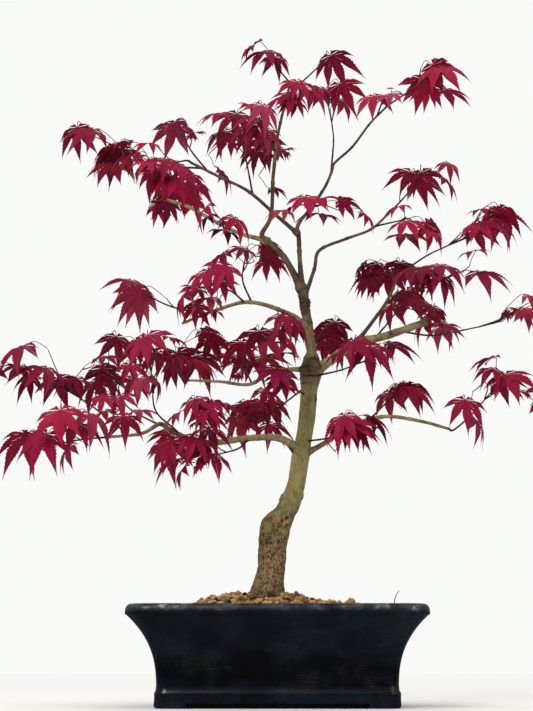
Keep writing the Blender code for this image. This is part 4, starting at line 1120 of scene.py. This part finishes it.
def thinStem(mass, points, used):
    # the stem carried back into its parent and thinned, with little knuckles spaced evenly along it
    start, _, _ = placeOn(*axes[mass.parent], mass.at)
    if mass.at == 1:
        start = start - (points[1] - points[0]) * fineRule["rootDepth"]
    route = trimmed(smoothRoute([start, *points], fineRule["step"]), used)
    radii = taper(route, *fineRule["stemRadius"])
    spacing, width, swell = fineRule["knuckles"]
    return route, [r * (1 + swell * hill((s / mm + 5) % spacing, spacing / 2, width))
                   for r, s in zip(radii, runAlong(route))]


crownTiers = {"low": 300, "middle": 430, "high": math.inf}     # the top of each, mm


def tierOf(mass):
    return next(tier for tier, top in crownTiers.items() if mass.centre[2] < top)


crown = growCrown()
crownParts = {tier: [] for tier in crownTiers}
stemParts, stalkParts = [], []
leafCount = 0
tints = [k for k, (_, share) in enumerate(leafTints.values()) for _ in range(share)]
for mass in masses:
    twigs, leaves, shoots, more = crown[mass.name]
    rng = random.Random(mass.seed * 7 + 1)
    blades = crownParts[tierOf(mass)]
    used = [leaf.stalk[0] for leaf in leaves + more] + [run[0] for run, _ in twigs[1:] + shoots]
    stemParts.append(sweptTube(*thinStem(mass, twigs[0][0], used), 7))
    for points, _ in twigs[1:]:
        fine = trimmed(smoothRoute(points, fineRule["step"]), used)
        stemParts.append(sweptTube(fine, taper(fine, *fineRule["twigRadius"]), 6))
    for points, radii in shoots:
        stemParts.append(sweptTube(points, radii, 5))
    usual = rng.choice(tints)
    for leaf in leaves + more:
        tint = usual if rng.random() < fineRule["usualTint"] else rng.choice(tints)
        blades.append((leafMesh(leaf, rng), tint))
        node, elbow, joint = leaf.stalk
        archAt, archLift = fineRule["stalkArch"]
        arch = node.lerp(elbow, archAt) + up * archLift
        stalk = smoothRoute([node, arch, elbow, joint], fineRule["stalkStep"])
        stalkParts.append(sweptTube(stalk, [fineRule["stalkRadius"]] * len(stalk), 5))
        leafCount += 1
    for points, radii in shoots:
        if rng.random() < fineRule["youngShare"]:       # a pair of young, half-open leaves
            tip, along, _ = placeOn(points, radii, 1.0)
            ahead, lift = fineRule["youngStalk"]
            for side in (-1, 1):
                hang = hangFrame(along, side * rng.uniform(*fineRule["youngSwing"]),
                                 math.radians(rng.uniform(*fineRule["youngPitch"])))
                joint = tip + hang.col[0] * ahead + up * lift
                young = Leaf([tip, tip, joint], hang, rng.uniform(*fineRule["youngLength"]))
                blades.append((leafMesh(young, rng, fineRule["youngOpen"]), 0))
                stalkParts.append(sweptTube([tip, joint], [fineRule["youngRadius"]] * 2, 4))

leafMaterials = [makeLeafMaterial(name, colour) for name, (colour, _) in leafTints.items()]
for tier, parts in crownParts.items():
    faceTints = [tint for (_, faces), tint in parts for _ in faces]
    piece = addMesh(tier + "Leaves", *joinMeshes([part for part, _ in parts]), leafMaterials,
                    faceTints)
    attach(piece, "root")
    names = [mass.name for mass in masses if tierOf(mass) == tier]
    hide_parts(*["leaves_" + name for name in names])
twigPiece = addMesh("twigs", *joinMeshes(stemParts), [shootBark])
stalkPiece = addMesh("leafStalks", *joinMeshes(stalkParts), [makeStalkMaterial()])
for piece in (twigPiece, stalkPiece):
    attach(piece, "root")
print("crown:", leafCount, "leaves")

potShape = {            # metres, as the CAD's pot
    "length": 0.250, "width": 0.190, "height": 0.085, "corner": 0.022, "wall": 0.006,
    "floor": 0.008, "rimHeight": 0.008, "waistInset": 0.0252, "flarePower": 2.7,
    "bandInset": 0.0235, "bandHeight": 0.015, "notch": (0.150, 0.020, 0.004),
    "drainRadius": 0.006, "drainX": 0.060,
    "soilEdge": 0.077, "soilTop": 0.090, "patch": 0.021, "soilInset": 0.0125,
    "foot": ((0.0018, 0.0), (0.0005, 0.0006), (0.0, 0.0018)),       # inset past the band, height
    "bandLip": (                # inset past the band, height over the band's top
        (0.0002, -0.0056), (0.0, -0.0036), (0.0003, -0.0020), (0.0012, -0.0008)),
    "underRim": (               # inset, height over the rim's lower edge
        (0.0015, -0.0014), (0.0008, -0.0012), (0.0002, -0.0006), (0.0, 0.0004), (0.0001, 0.0020)),
    "rim": (                    # inset, height over the top
        (0.0004, -0.0042), (0.0010, -0.0026), (0.0019, -0.0013), (0.0032, -0.0004), (0.0050, 0.0),
        (0.0080, 0.0), (0.0097, -0.0007), (0.0107, -0.0021), (0.0112, -0.0042)),
    "inside": (0.064, 0.050, 0.030, 0.012),     # heights of the rings inside
    "cornerSteps": 12, "sideSteps": 14, "wallSteps": 26,
    "wallBunch": 1.6,           # rings lie closer together towards the rim
    "leastCorner": 0.006, "cornerShrink": 0.5,
    "wallEnd": 0.0018,          # the wall ends this far under the rim
    "floorFillet": 0.004,
    "wobble": 0.0003, "wobbleScale": 22,        # hand-made: the walls aren't quite true,
    "wobbleEnds": (0.004, 0.083),               # between these heights
    "sharpEdge": 38,            # degrees
}


def potRing(inset, height):
    # a rounded rectangle, from the middle of its right side round
    shape = potShape
    corner = max(shape["corner"] - inset * shape["cornerShrink"], shape["leastCorner"])
    halfX, halfY = shape["length"] / 2 - inset - corner, shape["width"] / 2 - inset - corner
    quarters = ((1, 1), (-1, 1), (-1, -1), (1, -1))

    def cornerPoint(quarter, degrees):
        x, y = quarters[quarter % 4]
        turn = math.radians(degrees)
        return Vector((x * halfX + corner * math.cos(turn),
                       y * halfY + corner * math.sin(turn), height))

    ring = []
    for quarter in range(4):
        for k in range(shape["cornerSteps"]):
            ring.append(cornerPoint(quarter, 90 * quarter + 90 * k / (shape["cornerSteps"] - 1)))
        last, goal = ring[-1], cornerPoint(quarter + 1, 90 * (quarter + 1))
        ring += [last.lerp(goal, k / shape["sideSteps"]) for k in range(1, shape["sideSteps"])]
    return ring


def wallInset(height):
    shape = potShape
    rise = shape["height"] - shape["rimHeight"] - shape["bandHeight"]
    share = min(1.0, max(0.0, (height - shape["bandHeight"]) / rise))
    return shape["waistInset"] * (1 - share ** shape["flarePower"])


def potSurface():
    shape = potShape
    top, low, band = shape["height"], shape["height"] - shape["rimHeight"], shape["bandHeight"]
    profile = [(shape["bandInset"] + inset, height) for inset, height in shape["foot"]]
    profile += [(shape["bandInset"] + inset, band + height) for inset, height in shape["bandLip"]]
    for k in range(1, shape["wallSteps"]):
        height = band + (low - band) * (1 - (1 - k / shape["wallSteps"]) ** shape["wallBunch"])
        if height < low - shape["wallEnd"]:
            profile.append((wallInset(height), height))
    profile += [(inset, low + height) for inset, height in shape["underRim"]]
    profile += [(inset, top + height) for inset, height in shape["rim"]]
    profile.append((shape["soilInset"], shape["soilEdge"]))
    profile += [(wallInset(height) + shape["wall"], height) for height in shape["inside"]]
    profile.append((profile[-1][0] + shape["floorFillet"], shape["floor"]))
    wobbleStart, wobbleEnd = shape["wobbleEnds"]
    rings = []
    for inset, height in profile:
        ring = potRing(inset, height)
        if wobbleStart < height < wobbleEnd:
            ring = [p + Vector((p.x, p.y, 0)).normalized() * shape["wobble"]
                    * noise.noise(p * shape["wobbleScale"]) for p in ring]
        rings.append(ring)
    return loft(rings)


def cutAway(target):
    # cuts the shape added last out of the target
    cutter = bpy.context.object
    cut = target.modifiers.new("cut", "BOOLEAN")
    cut.operation = "DIFFERENCE"
    cut.solver = "EXACT"
    cut.object = cutter
    graph = bpy.context.evaluated_depsgraph_get()
    target.data = bpy.data.meshes.new_from_object(target.evaluated_get(graph))
    target.modifiers.clear()
    bpy.data.objects.remove(cutter)


glazeLook = {
    "body": ((0.30, "#06070f"), (0.48, "#0a0f1c"), (0.62, "#0b1826"), (0.80, "#0c2630")),
    "pooled": (                 # painted reflection, from foot to rim: darker low on the wall, where the glaze would mirror the dark bench
        (0.0, "#ffffff"), (0.17, "#f4f4f8"), (0.24, "#66667a"), (0.48, "#7a7a8c"),
        (0.62, "#ffffff")),
    "pool": 71.43, "poolNoise": {"Detail": 2}, "poolWander": 45,            # sizes in mm
    "mottle": 30.0, "mottleNoise": {"Detail": 6, "Roughness": 0.6},
    "bloom": "#2a2926",         # dusty mineral bloom that water leaves, wiped sideways
    "bloomSize": 34.0, "bloomNoise": {"Detail": 8, "Roughness": 0.66, "Distortion": 0.5},
    "bloomSpan": (0.48, 0.70, 0.0, 0.62),
    "wipe": 1.1, "wipeNoise": {"Detail": 3, "Roughness": 0.6}, "wipeStretch": (0.06, 0.06, 1.0),
    "wipeSpan": (0.42, 0.60, 0.25, 1.0),
    "rimWearAndHighlight": ((0.42, "#33393d"), (0.56, "#4b4e4c"), (0.66, "#b5b0a0")),      # the rim's pale band: partly rubbed wear, partly a painted highlight along the lip
    "rimWearAndHighlightEdge": (0.0782, 0.0822),       # heights between which the rim is lightened by wear and a painted highlight
    "rimStreak": 18.18, "rimStreakNoise": {"Detail": 7, "Roughness": 0.75}, "rimStreakSpan": (0.38, 0.62, 0.15, 0.9),
    "roughness": (0.22, 0.50),
    "pits": 1.4, "pitStrength": 0.5, "pitDepth": 0.12,
}


def makeGlaze(look):
    # glazed stoneware, IOR 1.52: deep glossy navy that pools teal, darkened low on the wall by a
    # painted reflection, with dull bloom and a rim lightened by wear and a painted highlight
    made, tree, shader, place = startMaterial("glazedStoneware", {
        "IOR": 1.52, "Metallic": 0.0, "Specular IOR Level": 0.35})
    mottle = addNode(tree, "TexNoise", perSize(look["mottle"], **look["mottleNoise"]),
                     {"Vector": place})
    colour = addNode(tree, "ValToRGB", {"stops": look["body"]}, {"Fac": mottle})
    height = addNode(tree, "SeparateXYZ", None, {"Vector": place}).outputs["Z"]
    # painted reflection: the wall is darkened low down, with a wandering edge, where it would
    # mirror the dark bench
    swell = addNode(tree, "TexNoise", perSize(look["pool"], **look["poolNoise"]), {"Vector": place})
    wander = look["poolWander"] * mm
    ragged = addNode(tree, "Math", {"operation": "MULTIPLY_ADD", 1: wander}, {0: swell, 2: height})
    level = addNode(tree, "MapRange", span(wander / 2, potShape["height"] + wander / 2),
                    {"Value": ragged})
    pooled = addNode(tree, "ValToRGB", {"stops": look["pooled"]}, {"Fac": level})
    colour = addNode(tree, "Mix", {**multiply, "Factor": 1.0}, {"A": colour, "B": pooled})

    bloom = addNode(tree, "TexNoise", perSize(look["bloomSize"], **look["bloomNoise"]),
                    {"Vector": place})
    bloom = addNode(tree, "MapRange", span(*look["bloomSpan"]), {"Value": bloom})
    sideways = addNode(tree, "Mapping", {"Scale": look["wipeStretch"]}, {"Vector": place})
    wipe = addNode(tree, "TexNoise", perSize(look["wipe"], **look["wipeNoise"]),
                   {"Vector": sideways})
    wiped = addNode(tree, "MapRange", span(*look["wipeSpan"]), {"Value": wipe})
    bloom = addNode(tree, "Math", {"operation": "MULTIPLY"}, {0: bloom, 1: wiped})
    colour = addNode(tree, "Mix", {"data_type": "RGBA", "B": linear(look["bloom"])},
                     {"Factor": bloom, "A": colour})

    # the lip's face is lightened in streaks: partly real wear, partly a painted highlight
    edge = addNode(tree, "MapRange", span(*look["rimWearAndHighlightEdge"]), {"Value": height})
    rimStreak = addNode(tree, "TexNoise", perSize(look["rimStreak"], **look["rimStreakNoise"]), {"Vector": place})
    rimStreaks = addNode(tree, "MapRange", span(*look["rimStreakSpan"]), {"Value": rimStreak})
    rimWearAndHighlight = addNode(tree, "Math", {"operation": "MULTIPLY"}, {0: edge, 1: rimStreaks})
    paleRimColour = addNode(tree, "ValToRGB", {"stops": look["rimWearAndHighlight"]}, {"Fac": rimStreak})
    colour = addNode(tree, "Mix", {"data_type": "RGBA"}, {"Factor": rimWearAndHighlight, "A": colour, "B": paleRimColour})
    dull = addNode(tree, "Math", {"operation": "MAXIMUM"}, {0: bloom, 1: rimWearAndHighlight})
    rough = addNode(tree, "MapRange", span(0.0, 1.0, *look["roughness"]), {"Value": dull})
    pits = addNode(tree, "TexNoise", perSize(look["pits"], Detail=2), {"Vector": place})
    bump = addNode(tree, "Bump", {"Strength": look["pitStrength"],
                                  "Distance": look["pitDepth"] * mm}, {"Height": pits})
    feed(shader, {"Base Color": colour, "Roughness": rough, "Normal": bump})
    return made


potPiece = addMesh("glazedPot", *potSurface(), [makeGlaze(glazeLook)], smooth=False)
notchLength, notchDepth, notchHeight = potShape["notch"]
bandY = potShape["width"] / 2 - potShape["bandInset"]
for side in (-1, 1):
    bpy.ops.mesh.primitive_cylinder_add(vertices=32, radius=potShape["drainRadius"], depth=0.04,
                                        location=(side * potShape["drainX"], 0, 0))
    cutAway(potPiece)
    bpy.ops.mesh.primitive_cube_add(size=1, location=(0, side * bandY, 0),
                                    scale=(notchLength, 2 * notchDepth, 2 * notchHeight))
    cutAway(potPiece)
potPiece.data.shade_smooth()
potPiece.data.set_sharp_from_angle(angle=math.radians(potShape["sharpEdge"]))
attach(potPiece, "root")
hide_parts("pot")
print("pot:", len(potPiece.data.polygons), "faces")

granuleRule = {         # a mound of baked clay granules, mm
    "spacing": 4.5, "jitter": (0.1, 0.9),       # shares of the spacing
    "radius": (1.7, 3.4), "lift": (-0.25, 0.55),        # shares of the radius
    "margin": 14.5,             # from the pot's outer edge
    "cornerRoom": (12, 12.5),   # the pot's rounded corners: where they start, and their reach
    "trunkRoom": (14.6, 0.3),   # from the trunk's axis, and a share of the stone's radius
    "heap": (-22, 34, 62, 4.2),         # second layer: its middle, full reach, last reach and lift
    "heapShare": 0.75,
    "front": (26, 1.2, 0.55),   # crumbs before the trunk: reach, spread and size against the rest
    "chips": 7, "chip": (0.62, 0.92),   # broken faces on a stone, and how far out they lie
    "flat": ((0.72, 1), (0.6, 0.9)),    # width and thickness against the length
    "lumps": (1.06, 0.28, 1.7),         # a stone's roundness: size, roughness and how often
    "strays": (                 # lone stones: x, y, z and radius
        (61, -46, 86.0, 5.4), (70, -60, 80.5, 3.6), (-84, -50, 82.5, 3.2)),
    "seed": 5,
    "tints": (("paleClay", "#c9a877", 3), ("ochreClay", "#a78150", 5),
              ("brownClay", "#7d5a32", 3), ("darkGrit", "#3a2818", 1)),
}


clayLook = {
    "roughness": 0.93, "specular": 0.2,
    "grain": 1.111, "grainNoise": {"Detail": 4, "Roughness": 0.7}, "grainDepth": 0.6,   # mm
    "shade": (0.3, 0.7, 0.72, 1.12),
}


def makeClay(name, colour):
    # low-fired clay, dielectric, IOR 1.5: chalky, pitted and fully matt
    made, tree, shader, place = startMaterial(name, {
        "IOR": 1.5, "Metallic": 0.0, "Roughness": clayLook["roughness"],
        "Specular IOR Level": clayLook["specular"]})
    grain = addNode(tree, "TexNoise", perSize(clayLook["grain"], **clayLook["grainNoise"]),
                    {"Vector": place})
    shade = addNode(tree, "MapRange", span(*clayLook["shade"]), {"Value": grain})
    tone = addNode(tree, "Mix", {**multiply, "Factor": 1.0, "A": linear(colour)}, {"B": shade})
    bump = addNode(tree, "Bump", {"Distance": clayLook["grainDepth"] * mm}, {"Height": grain})
    feed(shader, {"Base Color": tone, "Normal": bump})
    return made


def moundHeight(x, y):
    # height of the soil, level at the wall and rising to the flat patch round the trunk
    shape = potShape
    footX = trunkStations[0][1] * mm
    halfX, halfY = shape["length"] / 2 - shape["soilInset"], shape["width"] / 2 - shape["soilInset"]
    offset = Vector((x - footX, y, 0))
    if offset.length < shape["patch"]:
        return shape["soilTop"]
    side = (halfX - footX) if offset.x > 0 else (halfX + footX)
    reach = min(side / max(1e-6, abs(offset.x)), halfY / max(1e-6, abs(offset.y))) * offset.length
    share = min(1.0, max(0.0, (reach - offset.length) / (reach - shape["patch"])))
    return shape["soilEdge"] + (shape["soilTop"] - shape["soilEdge"]) * share


def scatterStones(rng):
    # middle and radius of each stone: the strays, a full layer and the heap on it
    rule = granuleRule
    spacing, margin = rule["spacing"] * mm, rule["margin"] * mm
    trunkRoom, nestle = rule["trunkRoom"]
    heapX, fullReach, lastReach, heapLift = [part * mm for part in rule["heap"]]
    frontReach, frontSpread, crumb = rule["front"]
    cornerStart, cornerReach = [part * mm for part in rule["cornerRoom"]]
    halfX, halfY = potShape["length"] / 2 - margin, potShape["width"] / 2 - margin
    footX = trunkStations[0][1] * mm
    stones = [(Vector((x, y, z)) * mm, radius * mm) for x, y, z, radius in rule["strays"]]
    columns, rows = int(2 * halfX / spacing), int(2 * halfY / spacing)
    for layer, i, j in product((0, 1), range(columns), range(rows)):
        x = -halfX + (i + rng.uniform(*rule["jitter"])) * spacing
        y = -halfY + (j + rng.uniform(*rule["jitter"])) * spacing
        radius = rng.uniform(*rule["radius"]) * mm
        away = math.hypot(x - footX, y)
        if y < 0 and away < frontReach * mm and abs(x - footX) < -y * frontSpread:
            radius *= crumb
        corner = math.hypot(max(0, abs(x) - halfX + cornerStart),
                            max(0, abs(y) - halfY + cornerStart))
        if away < trunkRoom * mm + radius * nestle or corner > cornerReach:
            continue
        heaped = 1 - smoothstep(fullReach, lastReach, math.hypot(x - heapX, y))
        beside = abs(x - footX) / max(away, 0.001)
        if layer and rng.random() > heaped * rule["heapShare"] * beside:
            continue
        lift = radius * rng.uniform(*rule["lift"]) + layer * heaped * beside ** 2 * heapLift
        stones.append((Vector((x, y, moundHeight(x, y) + lift)), radius))
    return stones


def anyDirection(rng):
    return Vector([rng.gauss(0, 1) for _ in range(3)])


def granuleParts():
    rule = granuleRule
    rng = random.Random(rule["seed"])
    ball = bmesh.new()
    bmesh.ops.create_icosphere(ball, subdivisions=2, radius=1)
    shell = [v.co.copy() for v in ball.verts]
    shellFaces = [tuple(v.index for v in f.verts) for f in ball.faces]
    ball.free()
    tints = [k for k, (_, _, share) in enumerate(rule["tints"]) for _ in range(share)]
    size, rough, often = rule["lumps"]
    parts, used = [], []
    for centre, radius in scatterStones(rng):
        turn = Matrix.Rotation(rng.uniform(0, math.tau), 3, anyDirection(rng).normalized())
        squash = Vector((1, *[rng.uniform(*shares) for shares in rule["flat"]]))
        shift = Vector([rng.uniform(0, 50) for _ in range(3)])
        chips = [(anyDirection(rng).normalized(), rng.uniform(*rule["chip"]))
                 for _ in range(rule["chips"])]
        verts = []
        for v in shell:
            broken = [depth / v.dot(side) for side, depth in chips if v.dot(side) > depth]
            out = min([1.0] + broken) * (size + rough * noise.noise(v * often + shift))
            verts.append(centre + turn @ (v * squash * radius * out))
        parts.append((verts, shellFaces))
        used += [rng.choice(tints)] * len(shellFaces)
    return *joinMeshes(parts), used


clays = [makeClay(name, colour) for name, colour, _ in granuleRule["tints"]]
granuleVerts, granuleFaces, granuleTints = granuleParts()
granulePiece = addMesh("clayGranules", granuleVerts, granuleFaces, clays, granuleTints)
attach(granulePiece, "root")
bed = frame["nodes"]["soil"]
bed.data.materials.clear()
bed.data.materials.append(makeClay("packedSoilBed", "#5a4128"))
sprigRule = {           # mm
    "points": ((98, -22, 79), (99, -23, 86), (100, -22, 92), (103, -23, 97)),
    "radius": (0.55, 0.3),
}
sprigRoute = smoothRoute([Vector(p) * mm for p in sprigRule["points"]], 2 * mm)
sprigRadii = taper(sprigRoute, *[r * mm for r in sprigRule["radius"]])
sprig = addMesh("drySprig", *sweptTube(sprigRoute, sprigRadii, 6), [shootBark])
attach(sprig, "root")
print("soil:", len(granuleFaces), "granule faces")

studio = {
    "floor": "#eceae6", "floorSides": 96, "floorRadius": 7,         # m
    "floorGrain": 4.167, "floorDepth": 0.2,     # mm
    "floorFade": (0.55, 2.6),   # how far out the floor starts and ends to meet the backdrop
    "backdrop": (0.955, 0.965, 0.95, 1),
    "frontGlow": 0.16, "backGlow": 0.85, "topGlow": 0.75,       # soft light from each side
    "flags": 0.28, "floorFlag": 0.10,   # share of light and floor that the glaze's reflections get
    "lights": (     # name, place, aim, size, watts, colour
        ("keyLight", (-0.9, -1.5, 1.7), (0, 0, 0.30), 1.0, 24, (1.0, 0.985, 0.96)),
        ("fillLight", (1.4, -1.1, 0.9), (0, 0, 0.30), 1.2, 6, (0.96, 0.98, 1.0)),
    ),
}


def makeFloor():
    # matt painted board, dielectric, IOR 1.45, that fades out into the backdrop
    made, tree, shader, place = startMaterial("paintedFloor", {
        "Base Color": linear(studio["floor"]), "Roughness": 0.75, "IOR": 1.45})
    flat = addNode(tree, "Mapping", {"Scale": (1, 1, 0)}, {"Vector": place})
    farOut = addNode(tree, "VectorMath", {"operation": "LENGTH"}, {0: flat})
    fade = addNode(tree, "MapRange", span(*studio["floorFade"]), {"Value": farOut})
    grain = addNode(tree, "TexNoise", perSize(studio["floorGrain"], Detail=3), {"Vector": place})
    bump = addNode(tree, "Bump", {"Strength": 0.3, "Distance": studio["floorDepth"] * mm},
                   {"Height": grain})
    feed(shader, {"Normal": bump})
    glow = addNode(tree, "Emission", {"Color": studio["backdrop"], "Strength": 1.0})
    blended = addNode(tree, "MixShader", None, {0: fade, 1: shader, 2: glow})
    flagged = addNode(tree, "Emission", {"Color": studio["backdrop"],
                                         "Strength": studio["floorFlag"]})
    mirrored = addNode(tree, "LightPath").outputs["Is Glossy Ray"]
    mixed = addNode(tree, "MixShader", None, {0: mirrored, 1: blended, 2: flagged})
    feed(tree.nodes["Material Output"], {"Surface": mixed})
    return made


floorTurns = [math.tau * k / studio["floorSides"] for k in range(studio["floorSides"])]
floorVerts = [Vector((math.cos(a), math.sin(a), 0)) * studio["floorRadius"] for a in floorTurns]
floor = addMesh("floor", floorVerts, [tuple(range(len(floorVerts)))], [makeFloor()], smooth=False)
for name, place, aim, size, power, colour in studio["lights"]:
    lamp = bpy.data.lights.new(name, "AREA")
    lamp.shape, lamp.size, lamp.energy, lamp.color = "DISK", size, power, colour
    holder = bpy.data.objects.new(name, lamp)
    holder.location = place
    holder.rotation_euler = (Vector(aim) - Vector(place)).to_track_quat("-Z", "Y").to_euler()
    bpy.context.collection.objects.link(holder)
world = bpy.data.worlds.new("studio")
bpy.context.scene.world = world
world.use_nodes = True
tree = world.node_tree
tree.nodes.clear()
direction = addNode(tree, "TexCoord").outputs["Generated"]
split = addNode(tree, "SeparateXYZ", None, {"Vector": direction}).outputs
back = addNode(tree, "MapRange", span(-0.5, 0.5, studio["frontGlow"], studio["backGlow"]),
               {"Value": split["Y"]})
above = addNode(tree, "MapRange", span(0.15, 0.9, 0.0, studio["topGlow"]), {"Value": split["Z"]})
glow = addNode(tree, "Math", {"operation": "ADD"}, {0: back, 1: above})
path = addNode(tree, "LightPath").outputs
flags = addNode(tree, "MapRange", span(0.0, 1.0, 1.0, studio["flags"]),
                {"Value": path["Is Glossy Ray"]})
glow = addNode(tree, "Math", {"operation": "MULTIPLY"}, {0: glow, 1: flags})
soft = addNode(tree, "Background", {"Color": (1, 1, 1, 1)}, {"Strength": glow})
plain = addNode(tree, "Background", {"Color": studio["backdrop"], "Strength": 1.0})
mixed = addNode(tree, "MixShader", None, {0: path["Is Camera Ray"], 1: soft, 2: plain})
addNode(tree, "OutputWorld", None, {"Surface": mixed})
bpy.context.scene.view_settings.view_transform = "Standard"

bpy.context.view_layer.update()
